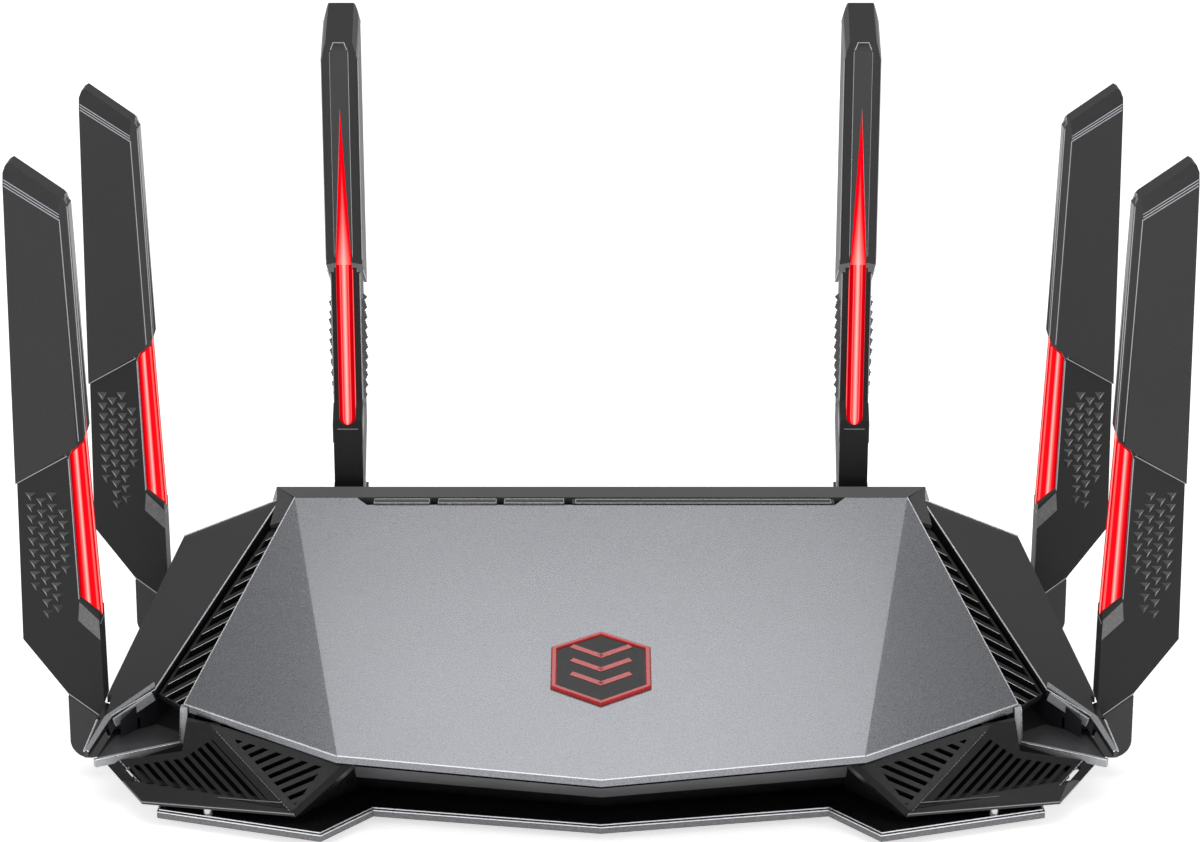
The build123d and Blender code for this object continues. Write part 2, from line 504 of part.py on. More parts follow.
# ==== top buttons and the long indicator window ==============================================
BUTTON_SPANS = (("left", -63.5, -47.5), ("middle", -45.6, -28.9), ("right", -27.2, -10.1))
WINDOW_SPAN = (-8.0, 65.0)
BUTTON_TOP = 42.3
BUTTON_DEEP = 5.0
FLANGE_THICK = 1.2
FLANGE_SIDE = 0.6                      # the flange stands out this far under the cover
BUTTON_TRAVEL = 0.8
FLANGE_FRONT = 38.2                    # the flange reaches forward over the switches
WINDOW_TOP, LEDGE_TOP, WINDOW_UNDER = 42.2, 39.0, 37.6
LEDGE_WIDTH = 1.4
SIDE_PLAY = 0.25
strip_front, strip_back = NOTCH_FRONT_Y + SIDE_PLAY, CROWN_FRONT_Y - SIDE_PLAY
for name, x_low, x_high in BUTTON_SPANS:
    with BuildPart() as button:
        block([(x_low, strip_front), (x_high, strip_front), (x_high, strip_back),
               (x_low, strip_back)], BUTTON_TOP - BUTTON_DEEP, BUTTON_TOP)
        chamfer(button.faces().sort_by(Axis.Z)[-1].edges(), 0.35)
        flange_low, flange_high = x_low - FLANGE_SIDE, x_high + FLANGE_SIDE
        block([(flange_low, FLANGE_FRONT), (flange_high, FLANGE_FRONT), (flange_high, strip_back),
               (flange_low, strip_back)],
              BUTTON_TOP - BUTTON_DEEP, BUTTON_TOP - BUTTON_DEEP + FLANGE_THICK)
    save(button.part, f"button_{name}")
with BuildPart() as indicator_window:
    x_low, x_high = WINDOW_SPAN
    block([(x_low, strip_front), (x_high, strip_front), (x_high, strip_back), (x_low, strip_back)],
          LEDGE_TOP, WINDOW_TOP)
    ledge_front = strip_front - LEDGE_WIDTH
    block([(x_low, ledge_front), (x_high, ledge_front), (x_high, strip_back), (x_low, strip_back)],
          WINDOW_UNDER, LEDGE_TOP)
save(indicator_window.part, "indicator_window")

# ==== inside ================================================================================
SWITCH_TOP = BUTTON_TOP - BUTTON_DEEP - BUTTON_TRAVEL - 0.3
RISER_Y, RISER_TOP = 38.8, 32.8        # upright card that carries the switches and lamps
RISER_HALF = 66.0
CHIP_HEIGHT, MODULE_HEIGHT = 1.8, 2.4
FIN_COUNT, FIN_PITCH, FIN_THICK, FIN_HEIGHT = 17, 6.0, 1.2, 7.0
SINK_BASE = 2.2
SINK_TOP = BOARD_TOP + CHIP_HEIGHT + SINK_BASE
with BuildPart() as main_board:
    block([(-80, -44), (80, -44), (80, 58.0), (-80, 58.0)], BOARD_UNDER, BOARD_TOP)
    with Locations([(x, -14, BOARD_TOP) for x in (-36, 0, 36)]):
        Box(16, 16, CHIP_HEIGHT, align=UPRIGHT)
    with Locations([(-66, 20, BOARD_TOP), (-66, -20, BOARD_TOP), (66, -20, BOARD_TOP)]):
        Box(12, 18, MODULE_HEIGHT, align=UPRIGHT)
    riser_back = RISER_Y + BOARD_THICK
    block([(-RISER_HALF, RISER_Y), (RISER_HALF, RISER_Y), (RISER_HALF, riser_back),
           (-RISER_HALF, riser_back)], BOARD_TOP, RISER_TOP)
    with Locations([((span[1] + span[2]) / 2, RISER_Y + BOARD_THICK / 2, RISER_TOP)
                    for span in BUTTON_SPANS]):
        Box(5, 2.6, SWITCH_TOP - RISER_TOP, align=UPRIGHT)
with BuildPart() as heatsink:
    block([(-50, -26), (50, -26), (50, -2), (-50, -2)], BOARD_TOP + CHIP_HEIGHT, SINK_TOP)
    with Locations([(FIN_PITCH * (i - (FIN_COUNT - 1) / 2), -14, SINK_TOP) for i in range(FIN_COUNT)]):
        Box(FIN_THICK, 24, FIN_HEIGHT, align=UPRIGHT)
save(main_board.part, "main_board")
save(heatsink.part, "heatsink")

# ==== rear sockets, as they sit in the wall ==================================================
FROM_WALL = (Align.CENTER, Align.MAX, Align.MIN)
PROUD = 0.4                            # how far the sockets stand out of the rear wall
MOUTH_Y = BACK_Y + PROUD + 0.1
MOUTH_RISE = 2.2
PIN_PITCH, PIN_STRIP = 1.02, 0.5
PIN_COUNT = 8
with BuildPart() as ethernet_jacks:
    with Locations([(x, BACK_Y + PROUD, BOARD_TOP) for x in JACK_XS]):
        Box(*JACK_BODY, align=FROM_WALL)
    with Locations([(x, MOUTH_Y, BOARD_TOP + MOUTH_RISE) for x in JACK_XS]):
        Box(*JACK_MOUTH, align=FROM_WALL, mode=Mode.SUBTRACT)
    with Locations([(x, MOUTH_Y, BOARD_TOP + MOUTH_RISE + JACK_MOUTH[2]) for x in JACK_XS]):
        Box(6.2, JACK_MOUTH[1], 1.6, align=FROM_WALL, mode=Mode.SUBTRACT)
    with Locations([(x + PIN_PITCH * (i - (PIN_COUNT - 1) / 2), BACK_Y - 4.0, BOARD_TOP + MOUTH_RISE)
                    for x in JACK_XS for i in range(PIN_COUNT)]):
        Box(PIN_STRIP, 5.6, 1.0, align=FROM_WALL)
save(ethernet_jacks.part, "ethernet_jacks")

with BuildPart() as usb_port:
    with Locations((USB_X, BACK_Y + PROUD, BOARD_TOP)):
        Box(*USB_BODY, align=FROM_WALL)
    with Locations((USB_X, MOUTH_Y, BOARD_TOP + 1.2)):
        Box(*USB_MOUTH, align=FROM_WALL, mode=Mode.SUBTRACT)
    with Locations((USB_X, BACK_Y - 1.0, BOARD_TOP + 3.5)):
        Box(11.0, USB_MOUTH[1] - 1.4, 1.9, align=FROM_WALL)
save(usb_port.part, "usb_port")

with BuildPart() as dc_jack:
    with Locations((DC_X, BACK_Y + PROUD, BOARD_TOP)):
        Box(*DC_BODY, align=FROM_WALL)
    with BuildSketch(Plane.XZ.offset(-MOUTH_Y)) as barrel:
        with Locations((DC_X, DC_MID_Z)):
            Circle(DC_RADIUS)
            Circle(DC_PIN_RADIUS, mode=Mode.SUBTRACT)
    extrude(barrel.sketch, amount=9.5, mode=Mode.SUBTRACT)
save(dc_jack.part, "dc_jack")

POWER_PROUD, POWER_DEEP = 1.9, 6.9
INTO_WALL = (Align.CENTER, Align.MAX, Align.CENTER)
with BuildPart() as power_button:
    with Locations((POWER_X, BACK_Y + POWER_PROUD, POWER_MID_Z)):
        Box(POWER_SIZE[0], POWER_DEEP, POWER_SIZE[1], align=INTO_WALL)
    chamfer(power_button.faces().sort_by(Axis.Y)[-1].edges(), 0.5)
    with Locations((POWER_X, BACK_Y - WALL - POWER_TRAVEL - 0.3, POWER_MID_Z)):
        Box(POWER_SIZE[0] + 2, FLANGE_THICK, POWER_SIZE[1] + 2, align=INTO_WALL)
save(power_button.part, "power_button")

# ==== antennas ==============================================================================
# Outlines in U and V. The inner edge, which faces the router, carries the light.
BLADE_OUTLINE = [(1.6, 76.0), (0.8, 38.3), (-4.0, 34.0), (-4.1, 9.7), (-2.7, 6.4), (4.8, 12.4),
                 (15.5, 27.5), (14.6, 71.0), (14.0, 71.0), (13.0, 134.0), (4.0, 128.0), (2.6, 80.0)]
CAP_OUTLINE = [(14.9, 69.3), (13.5, 148.6), (12.9, 150.2), (11.9, 150.8), (-0.6, 141.7),
               (-2.3, 79.9)]
TRIM_OUTLINE = [(-2.25, 80.2), (-3.1, 82.7), (-1.5, 139.9), (-0.6, 141.0)]
GUIDE_OUTLINE = [(1.55, 75.9), (-2.35, 79.6), (-4.1, 34.1), (0.8, 38.4)]
WEDGE_FOOT_V, WEDGE_TOP_V = 81.0, 124.0
BOARD_OUTLINE = [(5.4, 42.0), (12.6, 42.0), (11.6, 126.0), (5.4, 124.0)]
CAP_POCKET = [(16.0, 60.0), (13.3, 136.0), (3.4, 130.0), (1.9, 78.8), (1.0, 60.0)]
TANG_THICK = 6.4
BOARD_SLOT, ANTENNA_BOARD_THICK = 1.6, 1.0
BORE_PLAY = 0.03
PEG_THICK = 4.0                        # the peg that joins the hinge arm to the blade
POCKET_PLAY = 0.2


def make_antenna():
    """The six pieces of one antenna, upright, its pivot at the origin."""
    pieces = {}
    with BuildPart() as hinge_arm:
        side_profile([(-4.2, 0), (-4.2, 5.6), (-2.75, 6.25), (4.8, 12.2), (4.9, 0)],
                     KNUCKLE_THICK)
        with BuildSketch(Plane.XZ) as disc:
            Circle(KNUCKLE_RADIUS)
        extrude(disc.sketch, amount=KNUCKLE_THICK / 2, both=True)
        side_profile([(-8, -8), (8, -8), (8, 5.2), (-8, 5.2)], FORK_SLOT, mode=Mode.SUBTRACT)
        with BuildSketch(Plane.XZ) as bore:
            Circle(PIN_RADIUS + BORE_PLAY)
        extrude(bore.sketch, amount=PIN_LENGTH / 2 + 0.1, both=True, mode=Mode.SUBTRACT)
        side_profile([(-1.4, 7.0), (3.4, 10.8), (3.4, 24.0), (-1.4, 24.0)], PEG_THICK)
    pieces["hinge_arm"] = hinge_arm.part

    with BuildPart() as blade:
        side_profile(BLADE_OUTLINE, BLADE_THICK)
        side_profile([(20, 71.2), (20, 140), (-5, 140), (-5, 80), (1.6, 76.1)], 2 * BLADE_THICK,
                     mode=Mode.SUBTRACT)
        side_profile([(14.0, 60.0), (14.0, 71.4), (13.0, 134.0), (4.0, 128.0), (2.6, 76.0),
                      (2.6, 60.0)], TANG_THICK)
        side_profile([(-1.5, 2.0), (3.5, 2.0), (3.5, 24.1), (-1.5, 24.1)],
                     PEG_THICK + POCKET_PLAY, mode=Mode.SUBTRACT)
        side_profile([(5.3, 41.9), (12.8, 41.9), (12.6, 140.0), (5.3, 140.0)], BOARD_SLOT,
                     mode=Mode.SUBTRACT)
    pieces["blade"] = blade.part

    with BuildPart() as cap:
        side_profile(CAP_OUTLINE, CAP_THICK)
        for face in HALVES:
            half = face * CAP_THICK / 2
            # long chamfer beside the trim, then the slanting chamfer across the tip
            split(bisect_by=plane_through((-2.3, face * TRIM_WIDTH / 2, 79.9),
                                          (-0.6, face * TRIM_WIDTH / 2, 141.7),
                                          (-0.9, half, 79.9)), keep=Keep.BOTTOM)
            tip_plane = plane_through((13.6, half, 145.7), (0.4, half, 136.9),
                                      (11.9, half - face * 1.6, 150.8))
            split(bisect_by=tip_plane, keep=Keep.BOTTOM)
        side_profile(CAP_POCKET, TANG_THICK + POCKET_PLAY, mode=Mode.SUBTRACT)
        side_profile([(16.0, 60.0), (16.0, 71.2), (1.6, 76.2), (1.0, 60.0)],
                     BLADE_THICK + POCKET_PLAY, mode=Mode.SUBTRACT)

    with BuildPart() as trim:
        side_profile(TRIM_OUTLINE, TRIM_WIDTH)
        slot_half = GUIDE_WIDTH / 2 + FIT
        with BuildSketch(Plane.YZ.offset(-6)) as wedge_slot:
            Polygon((slot_half, 70), (slot_half, WEDGE_FOOT_V), (0, WEDGE_TOP_V),
                    (-slot_half, WEDGE_FOOT_V), (-slot_half, 70), align=None)
        extrude(wedge_slot.sketch, amount=12, mode=Mode.SUBTRACT)
    pieces["edge_trim"] = trim.part

    with BuildPart() as guide:
        side_profile(GUIDE_OUTLINE, GUIDE_WIDTH)
        with BuildSketch(Plane.YZ.offset(-6)) as wedge:
            Polygon((GUIDE_WIDTH / 2, 79.5), (GUIDE_WIDTH / 2, WEDGE_FOOT_V), (0, WEDGE_TOP_V - 0.6),
                    (-GUIDE_WIDTH / 2, WEDGE_FOOT_V), (-GUIDE_WIDTH / 2, 79.5), align=None)
        extrude(wedge.sketch, amount=12)
        with BuildSketch(Plane.XZ) as beyond:
            Polygon((-20, 70), (-20, 130), (-1.1, 130), (-2.35, 82.7), (-2.35, 79.6),
                    (-4.1, 34.1), (-4.1, 30), (-20, 30), align=None)
            Polygon((20, 130), (20, 30), (0.8, 30), (0.8, 38.4), (1.55, 75.9), (-1.0, 78.4),
                    (-0.55, 130), align=None)
        extrude(beyond.sketch, amount=20, both=True, mode=Mode.SUBTRACT)
    pieces["light_guide"] = guide.part

    with BuildPart() as fitted_cap:
        add(cap.part)
        add(guide.part, mode=Mode.SUBTRACT)
        add(trim.part, mode=Mode.SUBTRACT)
        add(blade.part, mode=Mode.SUBTRACT)
    pieces["cap"] = fitted_cap.part

    with BuildPart() as board:
        side_profile(BOARD_OUTLINE, ANTENNA_BOARD_THICK)
    pieces["board"] = board.part
    return pieces


ANTENNAS = (
    ("right_front", on_side(FRONT_PIVOT, 1), 0),
    ("right_back", on_side(BACK_PIVOT, 1), 0),
    ("left_front", on_side(FRONT_PIVOT, -1), 180),
    ("left_back", on_side(BACK_PIVOT, -1), 180),
    ("rear_right", on_side(REAR_PIVOT, 1), 90),
    ("rear_left", on_side(REAR_PIVOT, -1), 90),
)
antenna_pieces = make_antenna()
for place, pivot, turn in ANTENNAS:
    for piece_name, piece in antenna_pieces.items():
        save(piece.moved(Location(pivot, (0, 0, turn))), f"{place}_{piece_name}")

with BuildPart() as hinge_pins:
    for place, pivot, turn in ANTENNAS:
        axis = Plane(origin=pivot, x_dir=(1, 0, 0) if turn != 90 else (0, 1, 0),
                     z_dir=(0, 1, 0) if turn != 90 else (1, 0, 0))
        with BuildSketch(axis) as pin:
            Circle(PIN_RADIUS)
        extrude(pin.sketch, amount=PIN_LENGTH / 2, both=True)
save(hinge_pins.part, "hinge_pins")
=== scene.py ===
# %% [markdown]
# # A wireless router with lit antennas
# The moulded housing, the hinges and the antennas come from a CAD frame at their real size.
# This lesson adds what makes them look finished: grained paint, gloss and matte plastics, thin
# silver edge lines, the studded grip on each antenna and the lit strips. Lengths are metres,
# and points that are easier to read in millimetres are scaled where they are used.

# %% Load the frame
import json
import math

import bmesh
import bpy
from mathutils import Matrix, Vector

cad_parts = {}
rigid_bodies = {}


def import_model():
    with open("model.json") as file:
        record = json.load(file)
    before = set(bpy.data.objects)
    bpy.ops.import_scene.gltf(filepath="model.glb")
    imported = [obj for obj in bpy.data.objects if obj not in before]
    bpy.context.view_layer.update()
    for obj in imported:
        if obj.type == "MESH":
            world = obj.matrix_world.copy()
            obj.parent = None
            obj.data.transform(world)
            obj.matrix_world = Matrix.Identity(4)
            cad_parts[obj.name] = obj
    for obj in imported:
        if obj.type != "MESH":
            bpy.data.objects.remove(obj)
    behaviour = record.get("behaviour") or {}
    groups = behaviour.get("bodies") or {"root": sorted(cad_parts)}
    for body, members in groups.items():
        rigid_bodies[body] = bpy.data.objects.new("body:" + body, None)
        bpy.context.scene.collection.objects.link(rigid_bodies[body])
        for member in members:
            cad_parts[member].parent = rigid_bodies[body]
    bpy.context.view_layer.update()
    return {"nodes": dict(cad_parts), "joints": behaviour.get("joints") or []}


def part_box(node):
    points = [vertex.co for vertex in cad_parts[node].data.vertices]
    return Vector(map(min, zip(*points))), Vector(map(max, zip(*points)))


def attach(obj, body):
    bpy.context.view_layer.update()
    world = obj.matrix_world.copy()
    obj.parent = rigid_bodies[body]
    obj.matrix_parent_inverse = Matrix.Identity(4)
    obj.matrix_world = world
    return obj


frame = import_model()
nodes = frame["nodes"]
MM = 0.001
SIDES = {"right": 1, "left": -1}


def at_mm(x, y, z):
    """A point given in millimetres."""
    return Vector((x, y, z)) * MM


# %% [markdown]
# ## Shader arithmetic
# A finish is easier to read as an expression than as a chain of boxes. This small class wraps
# one output of a node, and each operator on it adds the Math node that it stands for.


# %% A value that varies over a surface
class Value:
    """One number on a surface. Python's operators add the Math nodes."""

    def __init__(self, paint, socket):
        self.paint, self.socket = paint, socket

    def maths(self, operation, first, second):
        return self.paint.node("ShaderNodeMath", {"operation": operation},
                               {0: first, 1: second}).outputs[0]

    def __add__(self, other):
        return Value(self.paint, self.maths("ADD", self, other))

    def __mul__(self, other):
        return Value(self.paint, self.maths("MULTIPLY", self, other))

    def __sub__(self, other):
        return Value(self.paint, self.maths("SUBTRACT", self, other))

    def __rsub__(self, other):
        return Value(self.paint, self.maths("SUBTRACT", other, self))

    __radd__ = __add__
    __rmul__ = __mul__


print("operators ready: +, - and *, with their reflected forms")


# %% A material and the one way to add a node to it
class Paint:
    """A material whose nodes are all added by one method."""

    def __init__(self, name, **constants):
        self.material = bpy.data.materials.new(name)
        self.material.use_nodes = True
        self.tree = self.material.node_tree
        self.shader = self.tree.nodes["Principled BSDF"]
        self.where = self.node("ShaderNodeTexCoord").outputs["Object"]
        for socket, value in constants.items():
            self.shader.inputs[socket.replace("_", " ")].default_value = value

    def node(self, kind, settings=None, sockets=None):
        made = self.tree.nodes.new(kind)
        for key, value in (settings or {}).items():
            if key == "stops":
                while len(made.color_ramp.elements) < len(value):
                    made.color_ramp.elements.new(0.5)
                for element, (place, colour) in zip(made.color_ramp.elements, value):
                    element.position = place
                    element.color = colour + (1.0,)
            else:
                setattr(made, key, value)
        for key, value in (sockets or {}).items():
            value = value.socket if isinstance(value, Value) else value
            if isinstance(value, bpy.types.NodeSocket):
                self.tree.links.new(value, made.inputs[key])
            else:
                made.inputs[key].default_value = value
        return made

    def noise(self, size, detail=2.0):
        """Noise whose features are about size metres across."""
        made = self.node("ShaderNodeTexNoise", {}, {"Vector": self.where, "Scale": 1.0 / size,
                                                    "Detail": detail})
        return Value(self, made.outputs["Fac"])

    def ramp(self, value, *stops):
        return self.node("ShaderNodeValToRGB", {"stops": stops}, {"Fac": value}).outputs["Color"]

    def feed(self, socket, value):
        value = value.socket if isinstance(value, Value) else value
        self.tree.links.new(value, self.shader.inputs[socket])

    def bump(self, height, strength, depth):
        made = self.node("ShaderNodeBump", {}, {"Height": height, "Strength": strength,
                                                "Distance": depth})
        self.feed("Normal", made.outputs["Normal"])


print("shader classes ready")

# %% [markdown]
# ## Finishes
# The cover is a grey paint with metal flake. The flake is far finer than a millimetre, so it is
# a fine noise that moves the colour and the roughness a little and leaves a faint bump.
# Darker mouldings are plastic: gloss on the intakes and the crown, satin on the wings, and a
# spark-eroded matte on the antennas.


# %% How a painted, a moulded and a metal finish are made
FLAKE_SIZE, CLOUD_SIZE, WEAR_SIZE = 0.00036, 0.03, 0.02
DARKEST, LIGHTEST = 0.78, 1.25


def flake_paint(name, dark, light, roughness, metallic):
    """Paint with metal flake, between a dark and a light tone."""
    paint = Paint(name, Metallic=metallic)
    flake, cloud = paint.noise(FLAKE_SIZE, 3.0), paint.noise(CLOUD_SIZE)
    tone = (flake - 0.5) * 1.1 + 0.5 + (cloud - 0.5) * 0.06
    paint.feed("Base Color", paint.ramp(tone, (0.2, dark), (0.8, light)))
    paint.feed("Roughness", flake * 0.16 + (roughness - 0.08))
    paint.bump(flake, 0.16, 0.00006)
    return paint.material


def moulded(name, colour, roughness, grain, depth, coat=0.0, shine=0.35):
    """Moulded plastic with a grain of the given size and depth."""
    paint = Paint(name, Coat_Weight=coat, Coat_Roughness=0.08, Specular_IOR_Level=shine)
    pits, wear = paint.noise(grain, 4.0), paint.noise(WEAR_SIZE)
    low = tuple(c * DARKEST for c in colour)
    high = tuple(c * LIGHTEST for c in colour)
    paint.feed("Base Color", paint.ramp(pits * 0.7 + wear * 0.3, (0.35, low), (0.65, high)))
    paint.feed("Roughness", (pits - 0.5) * 0.12 + (wear - 0.5) * 0.08 + roughness)
    paint.bump(pits, 0.3, depth)
    return paint.material


def metal(name, colour, roughness, grain):
    """Bare metal with a fine brushed grain."""
    paint = Paint(name, Metallic=1.0)
    brush = paint.noise(grain, 3.0)
    high = tuple(min(1.0, c * 1.12) for c in colour)
    paint.feed("Base Color", paint.ramp(brush, (0.3, colour), (0.7, high)))
    paint.feed("Roughness", brush * 0.14 + (roughness - 0.07))
    paint.bump(brush, 0.08, 0.00003)
    return paint.material


print("finish makers ready")

# %% Painted, moulded and metal finishes
cover_paint = flake_paint("cover_flake_grey", (0.15, 0.154, 0.166), (0.30, 0.305, 0.325), 0.27, 0.92)
# Painted light: the grey of the lit upper fascia.
fascia_grey = moulded("fascia_grey", (0.06, 0.06, 0.063), 0.4, 0.0008, 0.00001, shine=0.6)
facet_grey = moulded("facet_grey", (0.09, 0.09, 0.093), 0.35, 0.0008, 0.00001, shine=0.6)
vent_black = moulded("vent_black", (0.007, 0.007, 0.0072), 0.5, 0.0006, 0.00002, shine=0.25)
# Painted shade: the black of the sheets behind the intake slots.
deep_black = moulded("deep_black", (0.003, 0.003, 0.003), 0.7, 0.0008, 0.00001, shine=0.1)
deck_satin = moulded("deck_satin", (0.035, 0.0355, 0.038), 0.4, 0.0005, 0.00002, shine=0.5)
band_paint = flake_paint("band_flake", (0.24, 0.245, 0.255), (0.46, 0.465, 0.48), 0.4, 0.4)
lens_black = moulded("lens_black", (0.006, 0.006, 0.0065), 0.2, 0.0012, 0.00001, shine=0.12)
stud_satin = moulded("stud_satin", (0.03, 0.03, 0.031), 0.36, 0.0006, 0.00002, shine=0.6)
block_paint = flake_paint("shoulder_flake_dark", (0.07, 0.07, 0.075), (0.20, 0.20, 0.21), 0.45, 0.5)
gloss_black = moulded("gloss_black", (0.006, 0.006, 0.0065), 0.2, 0.0012, 0.00001, coat=0.3)
satin_black = moulded("satin_black", (0.012, 0.012, 0.013), 0.42, 0.0005, 0.00002)
wing_satin = moulded("wing_charcoal", (0.014, 0.0145, 0.017), 0.36, 0.00045, 0.00003, shine=0.5)
antenna_matte = moulded("antenna_matte", (0.008, 0.008, 0.0085), 0.5, 0.0005, 0.00006, shine=0.28)
cap_matte = moulded("antenna_cap_matte", (0.014, 0.014, 0.015), 0.46, 0.0005, 0.00006)
knuckle_satin = moulded("knuckle_satin", (0.006, 0.006, 0.0065), 0.3, 0.0006, 0.00003, shine=0.5)
key_gloss = moulded("key_gloss", (0.02, 0.02, 0.022), 0.22, 0.0008, 0.00001, coat=0.4)
crown_gloss = moulded("crown_gloss", (0.045, 0.045, 0.048), 0.24, 0.0008, 0.00001, coat=0.3)
socket_matte = moulded("socket_matte", (0.014, 0.014, 0.014), 0.55, 0.0006, 0.00003)
foot_rubber = moulded("foot_rubber", (0.012, 0.012, 0.012), 0.8, 0.0009, 0.00008)
board_green = moulded("board_green", (0.006, 0.06, 0.025), 0.35, 0.0007, 0.00002, coat=0.3)
# Partly trim colour and partly painted highlight: the bright bars along the edges.
silver_line = metal("silver_line", (0.72, 0.73, 0.75), 0.28, 0.001)
# Partly line colour and partly painted highlight: the grey bars on the intakes and antennas.
grey_line = metal("grey_line", (0.28, 0.28, 0.3), 0.35, 0.001)
steel = metal("steel", (0.5, 0.5, 0.52), 0.32, 0.0006)
sink_metal = metal("sink_aluminium", (0.6, 0.6, 0.62), 0.4, 0.0008)
print("finishes", len(bpy.data.materials))

# %% [markdown]
# ## Lit finishes
# The light guides glow from inside. A lamp in each guide would light the table as well and
# would be lost in an exported model, so the plastic emits its own colour. A ramp over the
# distance across a strip gives the hot middle, which is glow and a painted highlight together,
# the deep red sides, and thin pink lines near the edges that are painted highlights of the
# round bar.


# %% Lit and red finishes
DARK_RED_BASE = (0.08, 0.0, 0.0, 1.0)


def lit(name, strength, *stops):
    """Plastic lit from inside, its colour set by the mesh attribute "across", from 0 to 1."""
    paint = Paint(name, Emission_Strength=strength, Roughness=0.5, Specular_IOR_Level=0.0)
    paint.shader.inputs["Base Color"].default_value = DARK_RED_BASE
    across = paint.node("ShaderNodeAttribute", {"attribute_name": "across"}).outputs["Fac"]
    paint.feed("Emission Color", paint.ramp(across, *stops))
    return paint.material


def lit_solid(name, strength, deep, bright):
    """Plastic lit from inside with a cloudy glow between two reds."""
    paint = Paint(name, Emission_Strength=strength, Roughness=0.5, Specular_IOR_Level=0.0)
    paint.shader.inputs["Base Color"].default_value = DARK_RED_BASE
    paint.feed("Emission Color", paint.ramp(paint.noise(0.006), (0.3, deep), (0.7, bright)))
    return paint.material


DEEP_RED, DIM_RED, PURE_RED = (0.30, 0.0, 0.003), (0.7, 0.0, 0.006), (1.0, 0.004, 0.010)
PINK, HOT = (1.0, 0.16, 0.15), (1.0, 0.50, 0.46)
GLOW, BODY_GLOW = 1.15, 0.75
glow_body = lit_solid("glow_body", BODY_GLOW, (0.75, 0.0, 0.006), (0.95, 0.004, 0.01))
# Painted highlights: the pink stops near the edges. The hot middle is glow and painted highlight
# together.
glow_side = lit("glow_side", GLOW, (0.0, PURE_RED), (0.10, PINK), (0.17, PURE_RED),
                (0.44, PURE_RED), (0.58, HOT), (0.66, PINK), (0.78, PURE_RED), (1.0, DEEP_RED))
# Painted highlights here too: the pink stops beside the deep red sides.
glow_face = lit("glow_face", GLOW, (0.0, DEEP_RED), (0.2, DIM_RED), (0.24, PINK),
                (0.31, PURE_RED), (0.5, HOT), (0.69, PURE_RED), (0.76, PINK), (0.8, DIM_RED),
                (1.0, DEEP_RED))
glow_wedge = lit("glow_wedge", GLOW, (0.0, HOT), (0.3, PINK), (0.55, PURE_RED),
                 (0.8, (0.9, 0.0, 0.008)), (1.0, (0.75, 0.0, 0.006)))
badge_red = moulded("badge_red", (0.42, 0.003, 0.005), 0.25, 0.0008, 0.00001, coat=0.3)
print("lit finishes ready")

# %% [markdown]
# ## Give every moulded piece its finish
# The CAD nodes keep their meshes. Only the material in the slot changes, by node name.

# %% Finishes by node
FINISHES = {
    "base_plate": gloss_black, "rubber_feet": foot_rubber, "case_screws": steel,
    "spacers": steel, "lower_case": satin_black, "front_grille": gloss_black,
    "mid_frame": vent_black, "wing_left": wing_satin, "wing_right": wing_satin,
    "top_cover": cover_paint, "badge_bezel": badge_red, "badge_lens": lens_black,
    "rear_crown": crown_gloss, "button_left": key_gloss, "button_middle": key_gloss,
    "button_right": key_gloss, "indicator_window": gloss_black, "main_board": board_green,
    "heatsink": sink_metal, "ethernet_jacks": socket_matte, "usb_port": steel,
    "dc_jack": socket_matte, "power_button": key_gloss, "hinge_pins": steel,
}
ANTENNA_FINISHES = {
    "hinge_arm": knuckle_satin, "blade": antenna_matte, "cap": cap_matte,
    "edge_trim": knuckle_satin, "light_guide": glow_body, "board": board_green,
}
PLACES = {"right_front": 0, "right_back": 0, "left_front": 180, "left_back": 180,
          "rear_right": 90, "rear_left": 90}
for place in PLACES:
    for piece, finish in ANTENNA_FINISHES.items():
        FINISHES[f"{place}_{piece}"] = finish
for name, finish in FINISHES.items():
    node = nodes[name]
    for material_slot in node.material_slots:
        material_slot.material = finish
print("nodes finished", len(FINISHES), "missing", set(nodes) - set(FINISHES))

# %% [markdown]
# ## Edge lines
# Bright lines run along the moulded edges of the real thing. They are partly silver trim and
# partly a painted highlight: bright metal bars where the edges catch the light. Each could be a
# curve with a thickness, but a slim bevelled bar keeps the flat faces that catch the light.
# Where the edge is one of the CAD's, its ends are read from a merged copy of the mesh, so the
# line lies on it. Elsewhere its ends are given as points.


# %% A slim bar, a bevel and a slab
def add_bar(shape, start, end, width, height, up=Vector((0, 0, 1))):
    """Adds a bar from start to end to the bmesh, centred on that line."""
    start, end = Vector(start), Vector(end)
    along = (end - start).normalized()
    side = along.cross(up).normalized()
    turn = Matrix((along, side, side.cross(along) * -1)).transposed().to_4x4()
    size = Matrix.Diagonal(((end - start).length + width * 0.5, width, height, 1.0))
    bmesh.ops.create_cube(shape, size=1.0,
                          matrix=Matrix.Translation((start + end) / 2) @ turn @ size)


def soften(shape, offset, segments):
    """Bevels every edge of the bmesh."""
    bmesh.ops.bevel(shape, geom=shape.edges[:], offset=offset, segments=segments, profile=0.5,
                    material=-1, affect="EDGES", clamp_overlap=True)


def thicken(shape, face, by):
    """Pulls one face of the bmesh out by a vector, which makes a slab of it."""
    grown = bmesh.ops.extrude_face_region(shape, geom=[face])["geom"]
    bmesh.ops.translate(shape, vec=by,
                        verts=[g for g in grown if isinstance(g, bmesh.types.BMVert)])


print("bar, bevel and slab ready")


# %% A new piece
def new_piece(name, shape, finish, body):
    """Turns a bmesh into a piece that rides on a body."""
    bmesh.ops.recalc_face_normals(shape, faces=shape.faces)
    mesh = bpy.data.meshes.new(name)
    shape.to_mesh(mesh)
    shape.free()
    mesh.materials.append(finish)
    piece = bpy.data.objects.new(name, mesh)
    bpy.context.scene.collection.objects.link(piece)
    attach(piece, body)
    return piece


